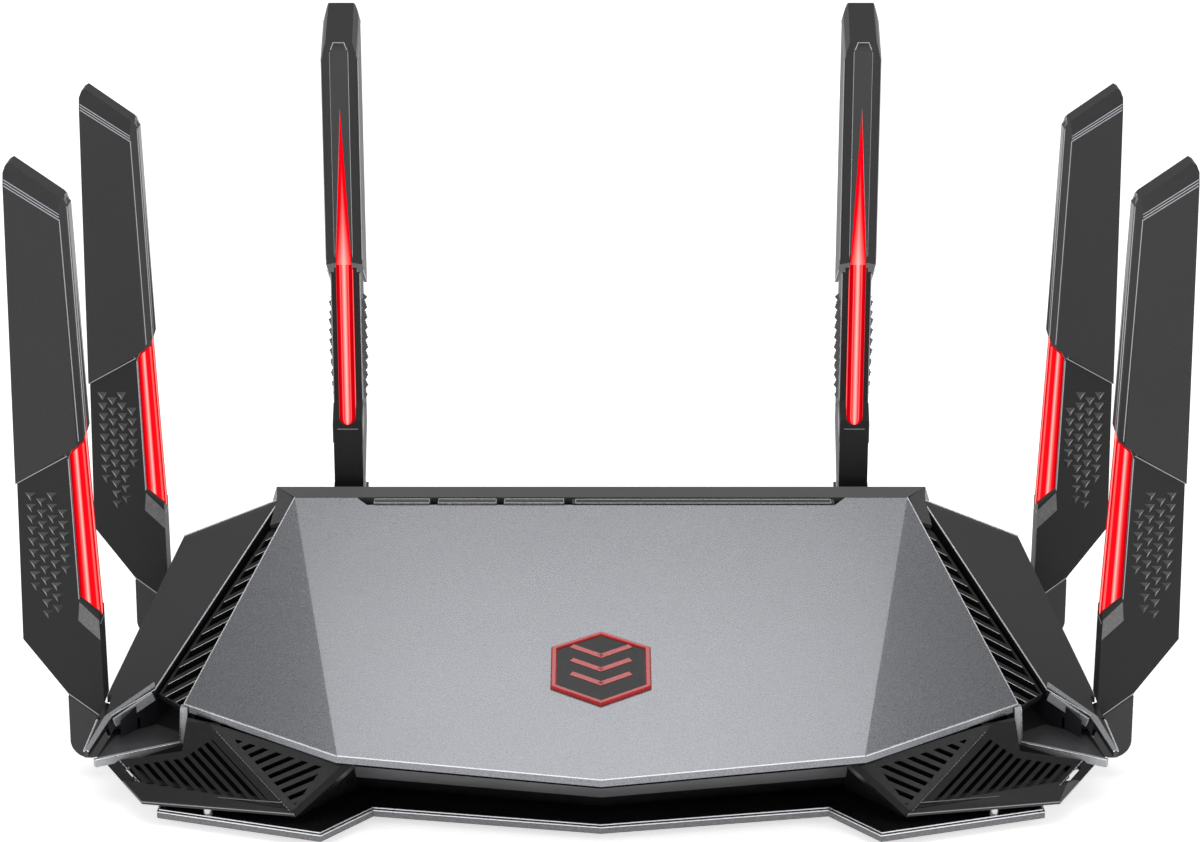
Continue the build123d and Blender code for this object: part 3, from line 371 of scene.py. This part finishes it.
def line_piece(name, lines, width, height, finish, body="housing"):
    """One piece of many bars."""
    shape = bmesh.new()
    for a, b in lines:
        add_bar(shape, a, b, width, height)
    soften(shape, width * 0.2, 1)
    print(name, len(lines), "lines")
    return new_piece(name, shape, finish, body)


print("piece makers ready")


# %% Edges of a CAD node
MERGE = 0.00001


def clean_copy(name):
    """A merged copy of a CAD node's mesh, with its flat faces whole again."""
    shape = bmesh.new()
    shape.from_mesh(nodes[name].data)
    bmesh.ops.remove_doubles(shape, verts=shape.verts, dist=MERGE)
    bmesh.ops.dissolve_limit(shape, angle_limit=math.radians(0.5), verts=shape.verts,
                             edges=shape.edges, use_dissolve_boundaries=False)
    return shape


def edge_lines(name, keep):
    """The ends of each sharp edge that keep(a, b, normals) accepts."""
    shape = clean_copy(name)
    found = []
    for edge in shape.edges:
        if len(edge.link_faces) == 2:
            a, b = (v.co.copy() for v in edge.verts)
            if keep(a, b, [f.normal.copy() for f in edge.link_faces]):
                found.append((a, b))
    shape.free()
    return found


print("edge reader ready, merging below", MERGE)

# %% Bright line round the cover
TRIM = 0.00035
ROOF_LEAN, UNDERSIDE_LEAN = 0.8, -0.5
COVER_RIM_LOWEST, SHORTEST_RIM, REAR_OF_RIM = 0.018, 0.02, 0.08


def top_rim(a, b, normals):
    """True where the cover's roof meets a side that turns down."""
    up = [n.z > ROOF_LEAN for n in normals]
    return (up[0] != up[1] and min(n.z for n in normals) > UNDERSIDE_LEAN
            and a.z > COVER_RIM_LOWEST)


# The cover's rim line is silver trim and a painted highlight together.
cover_rim = [(a, b) for a, b in edge_lines("top_cover", top_rim)
             if (a - b).length > SHORTEST_RIM and a.y + b.y < REAR_OF_RIM]
line_piece("cover_rim_line", cover_rim, TRIM, TRIM, silver_line)

# %% [markdown]
# The base plate shows a bright line along both of its upper edges, and a grainy painted band on
# the upright between them and the table. The band takes the lower line's ends and hangs a bar
# below them, so the two can't drift apart.

# %% Line round the base plate
SHARP, LEVEL = 0.3, 0.0001
PLATE_LOWER_EDGE, PLATE_UPPER_EDGE, FRONT_OF_PLATE = 0.0035, 0.0039, -0.05


def plate_edge(a, b, normals):
    """True for a level, sharp edge at the front of the base plate."""
    sharp = (normals[0] - normals[1]).length > SHARP
    level = min(a.z, b.z) > PLATE_LOWER_EDGE and abs(a.z - b.z) < LEVEL
    return sharp and level and min(a.y, b.y) < FRONT_OF_PLATE


plate_lines = edge_lines("base_plate", plate_edge)
line_piece("plate_line", plate_lines, TRIM, TRIM, silver_line)

# %% Grainy band below it
BAND_DROP = Vector((0, 0, -0.0009))
plate_bands = [(a + BAND_DROP, b + BAND_DROP) for a, b in plate_lines
               if max(a.z, b.z) < PLATE_UPPER_EDGE]
line_piece("plate_band", plate_bands, 0.00025, 0.00135, block_paint)

# %% [markdown]
# ## Lines on the wings and the side vents
# Each wing shows a thin light line along the edge beside the vent, and a wider painted band at
# its front. The vent slats are a dull black, and the light catches the front edge of each. The
# band is a flat outline pulled into a slab, because no edge of the CAD has its shape.


# %% Wing lines
WING_TRIM = 0.00045
WING_RIM_LEAN, WING_RIM_LOWEST, SHORTEST_WING_EDGE = 0.6, 0.0135, 0.01
BESIDE_VENT, WING_FRONT = 0.1215, -0.1


def wing_rim(a, b, normals):
    """True where a wing's top meets a steeper face."""
    up = [n.z > WING_RIM_LEAN for n in normals]
    return up[0] != up[1] and (a - b).length > SHORTEST_WING_EDGE and a.z > WING_RIM_LOWEST


for side_name in SIDES:
    inner = [(a, b) for a, b in edge_lines(f"wing_{side_name}", wing_rim)
             if abs(a.x + b.x) / 2 < BESIDE_VENT or a.y + b.y < WING_FRONT]
    line_piece(f"wing_line_{side_name}", inner, WING_TRIM, WING_TRIM, silver_line)

# %% Painted bands at the front of the wings
WING_TIP, WING_BEND = Vector((128.2, -61.6, 14.7)), Vector((124.4, -46.9, 17.8))
WING_INNER, WING_FLANK = Vector((114.0, -39.7, 22.7)), Vector((129.2, -60.9, 14.5))
WING_SIDE = Vector((127.9, -46.0, 16.6))
RAISED, BAND_THICK = Vector((0, -0.1, 0.35)), Vector((0, 0, 0.3))
wing_outline = [WING_TIP, WING_BEND, WING_INNER, WING_INNER + Vector((0.4, 1.9, 0.3)),
                WING_BEND.lerp(WING_SIDE, 0.5), WING_TIP.lerp(WING_FLANK, 0.9)]
for side_name, side in SIDES.items():
    mirror = Vector((side, 1, 1)) * MM
    band = bmesh.new()
    sheet = band.faces.new([band.verts.new((p + RAISED) * mirror) for p in wing_outline])
    thicken(band, sheet, -BAND_THICK * MM)
    bmesh.ops.triangulate(band, faces=band.faces[:])
    new_piece(f"wing_front_{side_name}", band, band_paint, "housing")
print("wing front corners", len(wing_outline))


# %% Light edges of the vent slats
HAIRLINE = 0.00018
SLAT_ALONG = Vector((-7.4, 6.1, 2.3)).normalized()
SLAT_STRAY, SLAT_TOP_LEAN, SLAT_FRONT_LEAN = 0.06, 0.6, -0.5


def unsigned(direction):
    """A direction with its signs dropped, so both sides and both ways compare alike."""
    return Vector((abs(direction.x), abs(direction.y), abs(direction.z)))


def slat_edge(a, b, normals):
    """True for the edge between a slat's top and its front."""
    stray = (unsigned((b - a).normalized()) - unsigned(SLAT_ALONG)).length
    front = min(n.y for n in normals) < SLAT_FRONT_LEAN
    return front and stray < SLAT_STRAY and max(n.z for n in normals) > SLAT_TOP_LEAN


# Painted highlight: a silver bar along the front edge of each slat, where the light catches it.
slat_lines = edge_lines("mid_frame", slat_edge)
line_piece("slat_lines", slat_lines, HAIRLINE, HAIRLINE, silver_line)

# %% [markdown]
# ## Intake lines
# A dotted silver line runs down the valley between the two faces of each front intake, and two
# thin ones along its lower edge. They are partly trim and partly a painted highlight where the
# edges catch the light. Dashes are short bars at an even pitch, which is simpler than a dotted
# texture and keeps its shape from every side.


# %% Dotted and double lines on the intakes
def dashes(start, end, length, pitch):
    """Short lines from start to end, one for each pitch."""
    along = (end - start).normalized()
    count = int((end - start).length / pitch)
    return [(start + along * (i * pitch), start + along * (i * pitch + length))
            for i in range(count)]


INTAKE_TRIM = 0.00022
RIDGE_TOP, RIDGE_FOOT = at_mm(96.6, -59.6, 19.6), at_mm(75.1, -81.5, 6.4)
VENT_HEEL, INNER_TIP = at_mm(113.4, -74.5, 6.4), at_mm(120.9, -60.6, 12.0)
INNER_FOOT, INNER_HEEL = at_mm(78.6, -78.3, 8.5), at_mm(112.5, -69.4, 7.2)
LOW_LINE_LIFT = Vector((0, -0.0002, 0.0006))
for side_name, side in SIDES.items():
    mirror = Vector((side, 1, 1))
    dotted = dashes(RIDGE_FOOT * mirror, RIDGE_TOP * mirror, 0.0006, 0.0010)
    low = [(RIDGE_FOOT * mirror + LOW_LINE_LIFT, VENT_HEEL * mirror + LOW_LINE_LIFT),
           (INNER_FOOT * mirror, INNER_HEEL * mirror)]
    edge = dashes(INNER_HEEL * mirror, INNER_TIP * mirror, 0.0009, 0.0013)
    line_piece(f"intake_lines_{side_name}", dotted + low + edge, INTAKE_TRIM, INTAKE_TRIM,
               grey_line)

# %% [markdown]
# ## Inside and under the intakes
# Inside each intake there is only shade. A thin black sheet set a little way behind each face
# paints that shade, so no light shows through the slots. A thin lip runs along the foot of each
# intake and carries the two lower lines.


# %% Sheets of painted shade behind the slots
def behind(points, depth):
    """The points of a flat outline, moved back from the face that they lie on."""
    normal = (points[1] - points[0]).cross(points[2] - points[0]).normalized()
    if normal.y > 0:
        normal = -normal
    return [point - normal * depth for point in points]


SHADE_SHEET_DEPTH, SHADE_SHEET_THICK = 0.0028, 0.0003
OUTER_FACE = [at_mm(97.5, -60.3, 18.3), at_mm(79.0, -78.2, 7.8), at_mm(111.5, -68.0, 7.0),
              at_mm(121.5, -59.8, 11.4), at_mm(104.5, -59.0, 17.0)]
INNER_FACE = [at_mm(96.0, -59.6, 19.5), at_mm(77.0, -79.4, 7.2), at_mm(64.5, -78.0, 15.8),
              at_mm(67.0, -74.4, 18.6), at_mm(94.0, -59.0, 21.3)]
# Painted shade: black sheets stand where the inside of each intake lies in shade.
shade_sheets = bmesh.new()
for face_points in (OUTER_FACE, INNER_FACE):
    for side in SIDES.values():
        mirror = Vector((side, 1, 1))
        shade_sheets.faces.new([shade_sheets.verts.new(p * mirror)
                          for p in behind(face_points, SHADE_SHEET_DEPTH)])
bmesh.ops.triangulate(shade_sheets, faces=shade_sheets.faces[:])
bmesh.ops.solidify(shade_sheets, geom=shade_sheets.faces[:], thickness=SHADE_SHEET_THICK)
print("liner faces", len(shade_sheets.faces))
new_piece("intake_liners", shade_sheets, deep_black, "housing")

# %% Lower lip of each intake
LIP = [at_mm(74.9, -81.5, 6.1), at_mm(113.4, -74.3, 6.1), at_mm(119.2, -66.2, 8.1),
       at_mm(116.6, -65.4, 7.6), at_mm(77.0, -78.0, 6.9)]
LIP_THICK, LIP_BEVEL = Vector((0, 0, 0.0009)), 0.00015
for side_name, side in SIDES.items():
    lip = bmesh.new()
    mirror = Vector((side, 1, 1))
    thicken(lip, lip.faces.new([lip.verts.new(p * mirror) for p in LIP]), LIP_THICK)
    soften(lip, LIP_BEVEL, 2)
    print("lip", side_name, "faces", len(lip.faces))
    new_piece(f"intake_lip_{side_name}", lip, gloss_black, "housing")

# %% [markdown]
# ## Fascia band
# The upper part of the recessed fascia catches the light, so a grey band paints that light on
# it, and the rest is left black where it lies in shade. The band is a thin strip on the fascia,
# from just under the cover to about half way down.

# %% Fascia band
FASCIA_TOP, FASCIA_FOOT = Vector((60.4, -77.6, 18.6)), Vector((60.7, -64.6, 6.0))
FASCIA_APEX, FASCIA_MID = Vector((0.0, -87.6, 17.2)), Vector((0.0, -75.2, 6.0))
BAND_TOP, BAND_FOOT = 0.06, 0.5
BAND_PROUD = Vector((0, -0.18, -0.18))
fascia_outline = [FASCIA_APEX.lerp(FASCIA_MID, BAND_TOP), FASCIA_TOP.lerp(FASCIA_FOOT, BAND_TOP),
                  FASCIA_TOP.lerp(FASCIA_FOOT, BAND_FOOT),
                  FASCIA_APEX.lerp(FASCIA_MID, BAND_FOOT)]
# Painted light: the grey band marks where the fascia is lit. Below it the black stands for shade.
fascia_band = bmesh.new()
for side in SIDES.values():
    mirror = Vector((side, 1, 1))
    fascia_band.faces.new([fascia_band.verts.new((p + BAND_PROUD) * mirror * MM)
                           for p in fascia_outline])
bmesh.ops.remove_doubles(fascia_band, verts=fascia_band.verts, dist=MERGE)
bmesh.ops.recalc_face_normals(fascia_band, faces=fascia_band.faces)
print("fascia band corners", len(fascia_band.verts))
new_piece("fascia_band", fascia_band, fascia_grey, "housing")

# %% [markdown]
# ## Shoulder trim
# The painted edge of the cover turns down at each outer corner and runs out along the front of
# the low shoulder to its tip. It is one band about two millimetres high, so it is built from
# two bars that meet, and two thin bars make its bright upper line.

# %% Shoulder band and its bright line
SHOULDER, STEP = at_mm(105.1, -51.3, 22.0), at_mm(105.6, -51.5, 11.9)
TIP = at_mm(126.4, -61.75, 11.6)
SHOULDER_TRIM, SHOULDER_BEVEL = 0.00028, 0.00015
RISE, AHEAD = Vector((0, 0, 0.00105)), Vector((0, -0.0007, 0))
for name, side in SIDES.items():
    mirror = Vector((side, 1, 1))
    corner, step, tip = SHOULDER * mirror, STEP * mirror, TIP * mirror
    band = bmesh.new()
    add_bar(band, corner, step, 0.0019, 0.0022, Vector((0, 1, 0)))
    add_bar(band, step, tip, 0.0014, 0.0021)
    soften(band, SHOULDER_BEVEL, 1)
    new_piece(f"shoulder_band_{name}", band, band_paint, "housing")
    off_corner = AHEAD * 1.5 + Vector((side * 0.0008, 0, 0))
    line_piece(f"shoulder_line_{name}",
               [(step + RISE + AHEAD, tip + RISE + AHEAD),
                (corner + off_corner, step + off_corner)],
               SHOULDER_TRIM, SHOULDER_TRIM, silver_line)

# %% [markdown]
# A painted bar fills the gap under the front of each wing, and a thin satin sheet covers the
# top of the low shoulder, which would otherwise show the duller black of the frame below it.

# %% Painted bars under the front of the wings
BLOCK_OUTER, BLOCK_INNER = (123.6, -46.9, 16.0), (114.5, -40.5, 20.4)
BLOCK_BEVEL = 0.0002
for side_name, side in SIDES.items():
    block = bmesh.new()
    ends = [Vector((side * x, y, z)) * MM for x, y, z in (BLOCK_OUTER, BLOCK_INNER)]
    add_bar(block, *ends, 0.0006, 0.0026)
    soften(block, BLOCK_BEVEL, 2)
    print("block", side_name, "faces", len(block.faces))
    new_piece(f"wing_block_{side_name}", block, band_paint, "housing")

# %% Shoulder tops
SHOULDER_TOP = [(106.4, -50.9), (125.9, -60.7), (123.4, -47.6), (113.9, -40.6), (106.8, -46.0)]
DECK_LEVEL, DECK_THICK = 0.01255, Vector((0, 0, 0.00015))
for side_name, side in SIDES.items():
    deck = bmesh.new()
    thicken(deck, deck.faces.new([deck.verts.new((side * x * MM, y * MM, DECK_LEVEL))
                                  for x, y in SHOULDER_TOP]), DECK_THICK)
    new_piece(f"shoulder_top_{side_name}", deck, deck_satin, "housing")
print("shoulder tops at", DECK_LEVEL)

# %% [markdown]
# ## Key outlines
# A hairline runs round each key and along the indicator window. The outlines are read from the
# CAD boxes, so they follow the keys' size. They are one piece on the housing, so they don't go
# down with a key that is pressed.

# %% Thin lines round the keys and along the window
KEY_STRIP, WINDOW_STRIP, END_INSET, BACK_INSET = 0.0038, 0.0016, 0.0009, 0.0005
key_lines = []
for name in ("button_left", "button_middle", "button_right", "indicator_window"):
    low, high = Vector(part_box(name)[0]), Vector(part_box(name)[1])
    front = high.y - KEY_STRIP if "button" in name else low.y + WINDOW_STRIP
    left, right, back = low.x + END_INSET, high.x - END_INSET, high.y - BACK_INSET
    corners = [Vector((left, back, high.z)), Vector((right, back, high.z)),
               Vector((right, front, high.z)), Vector((left, front, high.z))]
    key_lines += list(zip(corners, corners[1:] + corners[:1]))
line_piece("key_lines", key_lines, 0.00016, 0.00012, silver_line)

# %% [markdown]
# ## The badge
# Three plain red chevrons stand on the dark lens inside the six-sided frame. It is a generic
# mark: V shapes one above the other, each of two bars laid on the roof's slope.

# %% Chevrons
lens_low, lens_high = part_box("badge_lens")
ROOF_SLOPE = math.atan2(23.0, 136.1)
CHEVRON_STEPS, CHEVRON_RISE, CHEVRON_REACH = (-0.0075, -0.001, 0.0055), 0.0046, 0.0072
LENS_CLEAR = 0.0005
badge_centre = (Vector(lens_low) + Vector(lens_high)) / 2
roof_normal = Vector((0, -math.sin(ROOF_SLOPE), math.cos(ROOF_SLOPE)))
uphill = Vector((0, math.cos(ROOF_SLOPE), math.sin(ROOF_SLOPE)))
face_point = badge_centre + roof_normal * LENS_CLEAR
chevrons = bmesh.new()
for step in CHEVRON_STEPS:
    for side in (1, -1):
        low_end = face_point + uphill * step
        high_end = (face_point + uphill * (step + CHEVRON_RISE)
                    + Vector((side * CHEVRON_REACH, 0, 0)))
        add_bar(chevrons, low_end, high_end, 0.0017, 0.0005, roof_normal)
new_piece("badge_chevrons", chevrons, badge_red, "housing")
print("lens", [round(v, 4) for v in lens_low], [round(v, 4) for v in lens_high])

# %% [markdown]
# ## Antennas
# Every antenna is the same part. Its detail is made once in the antenna's own frame, with U
# away from the router, V up and W across, then placed by its hinge. The joints give the hinges'
# places, and a turn about Z faces each one outwards.

# %% Where each antenna stands
HINGES = {joint["name"][:-5]: Vector(joint["pos_m"]) for joint in frame["joints"]
          if joint["name"].endswith("_fold")}
BLADE_HALF, CAP_HALF, GUIDE_HALF = 0.0041, 0.0051, 0.0022


def antenna_piece(place, name, shape, finish):
    """Places a copy of a shape made in the antenna's frame, riding on that antenna."""
    copy = shape.copy()
    where = Matrix.Translation(HINGES[place]) @ Matrix.Rotation(math.radians(PLACES[place]),
                                                                4, "Z")
    bmesh.ops.transform(copy, matrix=where, verts=copy.verts)
    return new_piece(f"{place}_{name}", copy, finish, f"{place}_antenna")


def uv(u, v, w=0.0):
    """A point of the antenna's frame, given in millimetres."""
    return Vector((u * MM, w * MM, v * MM))


print("hinges", {k: tuple(round(c, 4) for c in v) for k, v in HINGES.items()})

# %% [markdown]
# The grip is a field of small three-sided pyramids in staggered columns. They fade downwards:
# the lower ones stand less far out of the blade. A texture could only fake that relief, and at
# this size the outline of each stud shows.

# %% Grip studs
STUD_PITCH, STUD_RADIUS, STUD_POINT, STUD_HEIGHT = 3.0, 1.7, 0.15, 1.3
FADE_OVER, LEAST_RELIEF = 12, 0.35
COLUMNS = ((3.6, 61.5, 44.0), (6.2, 66.0, 36.0), (8.8, 64.5, 33.0), (11.4, 66.0, 40.0))
grip = bmesh.new()
for face in (1, -1):
    for u, top, bottom in COLUMNS:
        for row in range(int((top - bottom) / STUD_PITCH) + 1):
            v = top - STUD_PITCH * row
            fade = min(1.0, (v - bottom) / FADE_OVER + LEAST_RELIEF)
            place = (Matrix.Translation(uv(u, v, face * (BLADE_HALF / MM + 0.5 * fade)))
                     @ Matrix.Rotation(math.radians(-90 * face), 4, "X")
                     @ Matrix.Rotation(math.radians(0 if face == 1 else 180), 4, "Z"))
            bmesh.ops.create_cone(grip, cap_ends=True, segments=3, radius1=STUD_RADIUS * MM,
                                  radius2=STUD_POINT * MM, depth=STUD_HEIGHT * fade * MM,
                                  matrix=place)
print("grip studs faces", len(grip.faces))

# %% [markdown]
# Fine grey lines dress each antenna: three across the top of the cap, one along its inner side
# and one over its foot, a thin frame on its narrow edge, and a few on the blade. They stand for
# edge lines and painted highlights along the chamfers. They are gathered in two shapes, one for
# the cap and one for the blade, and each shape is one piece.

# %% Lines on the faces of the cap
CAP_STRIPES, STRIPE_SINK, STRIPE_LEAN = (0.0, 0.7, 1.4), 0.30, 0.9
STRIPE, STRIPE_HEIGHT = 0.00025, 0.00022
cap_lines = bmesh.new()
for face in (1, -1):
    across = face * CAP_HALF / MM
    outwards = Vector((0, face, 0))
    for offset in CAP_STRIPES:
        sunk = across - face * STRIPE_SINK * offset
        add_bar(cap_lines, uv(13.3, 145.5 + offset, sunk),
                uv(0.5, 137.0 + offset * STRIPE_LEAN, sunk), STRIPE, STRIPE_HEIGHT, outwards)
    add_bar(cap_lines, uv(-1.35, 80.6, across), uv(0.35, 137.0, across),
            HAIRLINE, HAIRLINE, outwards)
    add_bar(cap_lines, uv(1.7, 76.7, across), uv(14.8, 69.4, across),
            HAIRLINE, HAIRLINE, outwards)
print("cap faces", len(cap_lines.faces))

# %% Lines on the narrow edge of the cap
INWARDS = Vector((-1, 0, 0))
EDGE_LINE, MIDDLE_LINE = 0.0002, 0.00016
for edge in (1, -1):
    add_bar(cap_lines, uv(-2.75, 82.0, edge * 2.5), uv(-1.25, 139.6, edge * 2.5),
            EDGE_LINE, EDGE_LINE, INWARDS)
    add_bar(cap_lines, uv(-1.25, 139.6, edge * 2.5), uv(-0.7, 142.2, edge * 1.5),
            EDGE_LINE, EDGE_LINE, INWARDS)
add_bar(cap_lines, uv(-0.7, 142.2, -1.5), uv(-0.7, 142.2, 1.5), EDGE_LINE, EDGE_LINE, INWARDS)
add_bar(cap_lines, uv(-1.85, 124.5, 0), uv(-1.3, 139.8, 0), MIDDLE_LINE, MIDDLE_LINE, INWARDS)
print("cap faces with its edge", len(cap_lines.faces))

# %% Lines on the blade
BLADE_LINE = 0.00022
blade_lines = bmesh.new()
add_bar(blade_lines, uv(-4.1, 31.3, -2.9), uv(-4.1, 31.3, 2.9), MIDDLE_LINE, EDGE_LINE, INWARDS)
for face in (1, -1):
    across = face * BLADE_HALF / MM
    outwards = Vector((0, face, 0))
    add_bar(blade_lines, uv(0.85, 38.4, across), uv(1.6, 75.6, across),
            BLADE_LINE, BLADE_LINE, outwards)
    add_bar(blade_lines, uv(4.9, 12.6, across), uv(-2.6, 6.6, across),
            BLADE_LINE, BLADE_LINE, outwards)
print("blade faces", len(blade_lines.faces))

# %% [markdown]
# The real light guide is a clear bar that glows: brightest along its middle, deep red at its
# sides, with painted highlight lines near its edges where the round bar catches the light.
# A flat strip is laid just over each lit face. Each point of the strip stores how far across it
# lies, and the finish reads that number, so the glow and the painted highlights follow the bar.


# %% Lit strips
SPREAD, THINNEST = 1.1, 0.02


def lit_strip(edge_a, edge_b, round_end=0.0, fade=0.0):
    """A strip between two edges, each given by its lower and upper end."""
    strip = bmesh.new()
    across = strip.verts.layers.float.new("across")
    bmesh.ops.create_grid(strip, x_segments=16, y_segments=24, size=0.5)
    length = (edge_a[1] - edge_a[0]).length
    for vert in strip.verts:
        share, height = vert.co.x + 0.5, (vert.co.y + 0.5) ** 2
        vert[across] = abs(share - 0.5) * SPREAD + height * fade if fade else share
        near = min(1.0, height * length / round_end) if round_end else 1.0
        narrow = math.sqrt(max(0.0, 1.0 - (1.0 - near) ** 2))
        a = edge_a[0].lerp(edge_a[1], height)
        b = edge_b[0].lerp(edge_b[1], height)
        vert.co = a.lerp(b, 0.5 + (share - 0.5) * max(narrow, THINNEST))
    return strip


PROUD = 0.06
side_w = GUIDE_HALF / MM + PROUD
STRIPS = []
for face, face_name in ((1, "back"), (-1, "front")):
    STRIPS.append((f"light_side_{face_name}", glow_side, lit_strip(
        (uv(-4.0, 34.4, face * side_w), uv(-2.3, 79.4, face * side_w)),
        (uv(0.75, 38.5, face * side_w), uv(1.45, 76.0, face * side_w)))))
STRIPS.append(("light_face", glow_face, lit_strip(
    (uv(-4.16, 32.6, -2.15), uv(-2.44, 79.4, -2.15)),
    (uv(-4.16, 32.6, 2.15), uv(-2.44, 79.4, 2.15)), round_end=0.0021)))
STRIPS.append(("light_wedge", glow_wedge, lit_strip(
    (uv(-2.5, 79.4, -2.1), uv(-1.5, 123.0, -0.12)),
    (uv(-2.5, 79.4, 2.1), uv(-1.5, 123.0, 0.12)), fade=0.8)))
print("lit strips", len(STRIPS))

# %% [markdown]
# A slanting grey facet lies under the foot of the light on both faces. It is a four-sided
# outline pulled out to just past the blade, so its rim catches the light as a real step does.

# %% The grey facet under the light
FACET = ((0.8, 37.6), (-3.9, 32.6), (-4.0, 27.2), (1.3, 32.6))
FACET_SINK, FACET_THICK = 0.2, 0.0004
facets = bmesh.new()
for face in (1, -1):
    across = face * (BLADE_HALF / MM - FACET_SINK)
    thicken(facets, facets.faces.new([facets.verts.new(uv(u, v, across)) for u, v in FACET]),
            Vector((0, face * FACET_THICK, 0)))
print("facet faces", len(facets.faces))

# %% [markdown]
# The details go on all six antennas. The antennas are then left out of reflections, because
# the cover would otherwise mirror them as dark and red patches.

# %% Put the details on all six antennas
for place in PLACES:
    antenna_piece(place, "grip", grip, stud_satin)
    antenna_piece(place, "cap_lines", cap_lines, grey_line)
    antenna_piece(place, "blade_lines", blade_lines, grey_line)
    antenna_piece(place, "facets", facets, facet_grey)
    for strip_name, finish, strip in STRIPS:
        antenna_piece(place, strip_name, strip, finish)
antenna_parts = [item for item in bpy.data.objects if item.name.startswith(tuple(PLACES))]
for item in antenna_parts:
    item.visible_glossy = False
print("antenna parts", len(antenna_parts))

# %% [markdown]
# ## Studio
# The floor is plain and pale, and glows a little so that it stays nearly white. Five soft
# lights stand round the router: one above, a small one behind that the sloping cover mirrors,
# one at each side and a long low one in front. An even pale sky fills the shadows.

# %% Floor
FLOOR_GLOW = 0.62
floor_shape = bmesh.new()
bmesh.ops.create_grid(floor_shape, x_segments=1, y_segments=1, size=6.0)
floor_mesh = bpy.data.meshes.new("floor")
floor_shape.to_mesh(floor_mesh)
floor_shape.free()
floor_paint = Paint("floor_white", Roughness=0.9)
floor_paint.feed("Base Color", floor_paint.ramp(floor_paint.noise(0.5), (0.0, (0.86, 0.86, 0.86)),
                                                (1.0, (0.88, 0.88, 0.88))))
floor_paint.shader.inputs["Emission Color"].default_value = (1.0, 1.0, 1.0, 1.0)
floor_paint.shader.inputs["Emission Strength"].default_value = FLOOR_GLOW
floor_mesh.materials.append(floor_paint.material)
floor = bpy.data.objects.new("floor", floor_mesh)
bpy.context.scene.collection.objects.link(floor)
print("floor glow", FLOOR_GLOW)


# %% Lights
def soft_light(name, place, target, width, height, power):
    """A rectangular light at a place, turned towards a target."""
    lamp = bpy.data.lights.new(name, "AREA")
    lamp.shape = "RECTANGLE"
    lamp.size, lamp.size_y, lamp.energy = width, height, power
    holder = bpy.data.objects.new(name, lamp)
    holder.location = place
    holder.rotation_euler = (Vector(target) - Vector(place)).to_track_quat("-Z", "Y").to_euler()
    bpy.context.scene.collection.objects.link(holder)


SKY = 0.38
soft_light("over", (0.0, -0.2, 1.5), (0, 0, 0), 1.6, 1.0, 7)
soft_light("behind", (0.0, 0.95, 1.12), (0, -0.03, 0.03), 0.52, 0.5, 1.95)
soft_light("left", (-1.3, -0.7, 0.6), (0, 0, 0.05), 0.6, 0.8, 5)
soft_light("right", (1.3, -0.7, 0.6), (0, 0, 0.05), 0.6, 0.8, 5)
soft_light("front", (0.0, -1.6, 0.3), (0, 0, 0.05), 1.6, 0.3, 6)
world = bpy.data.worlds.new("studio")
world.use_nodes = True
world.node_tree.nodes["Background"].inputs["Color"].default_value = (1.0, 1.0, 1.0, 1.0)
world.node_tree.nodes["Background"].inputs["Strength"].default_value = SKY
bpy.context.scene.world = world
bpy.context.scene.view_settings.view_transform = "Standard"
print("lights", len(bpy.data.lights), "sky", SKY)

# %% [markdown]
# A long lens from a little way above keeps the antennas nearly upright. The shift moves the
# frame by one part in 1200 of its width and nothing more.

# %% Camera
LENS, SENSOR = 96.0, 36.0
DOWN = math.radians(18.6)
CAMERA_PLACE, CAMERA_SHIFT = (0.0, -0.7933, 0.348), -1.0 / 1200
camera = bpy.data.cameras.new("camera")
camera.lens, camera.sensor_width, camera.sensor_fit = LENS, SENSOR, "HORIZONTAL"
camera.shift_x = CAMERA_SHIFT
camera_holder = bpy.data.objects.new("camera", camera)
camera_holder.location = CAMERA_PLACE
camera_holder.rotation_euler = (math.pi / 2 - DOWN, 0.0, 0.0)
bpy.context.scene.collection.objects.link(camera_holder)
bpy.context.scene.camera = camera_holder
print("camera at", CAMERA_PLACE, "lens", LENS)
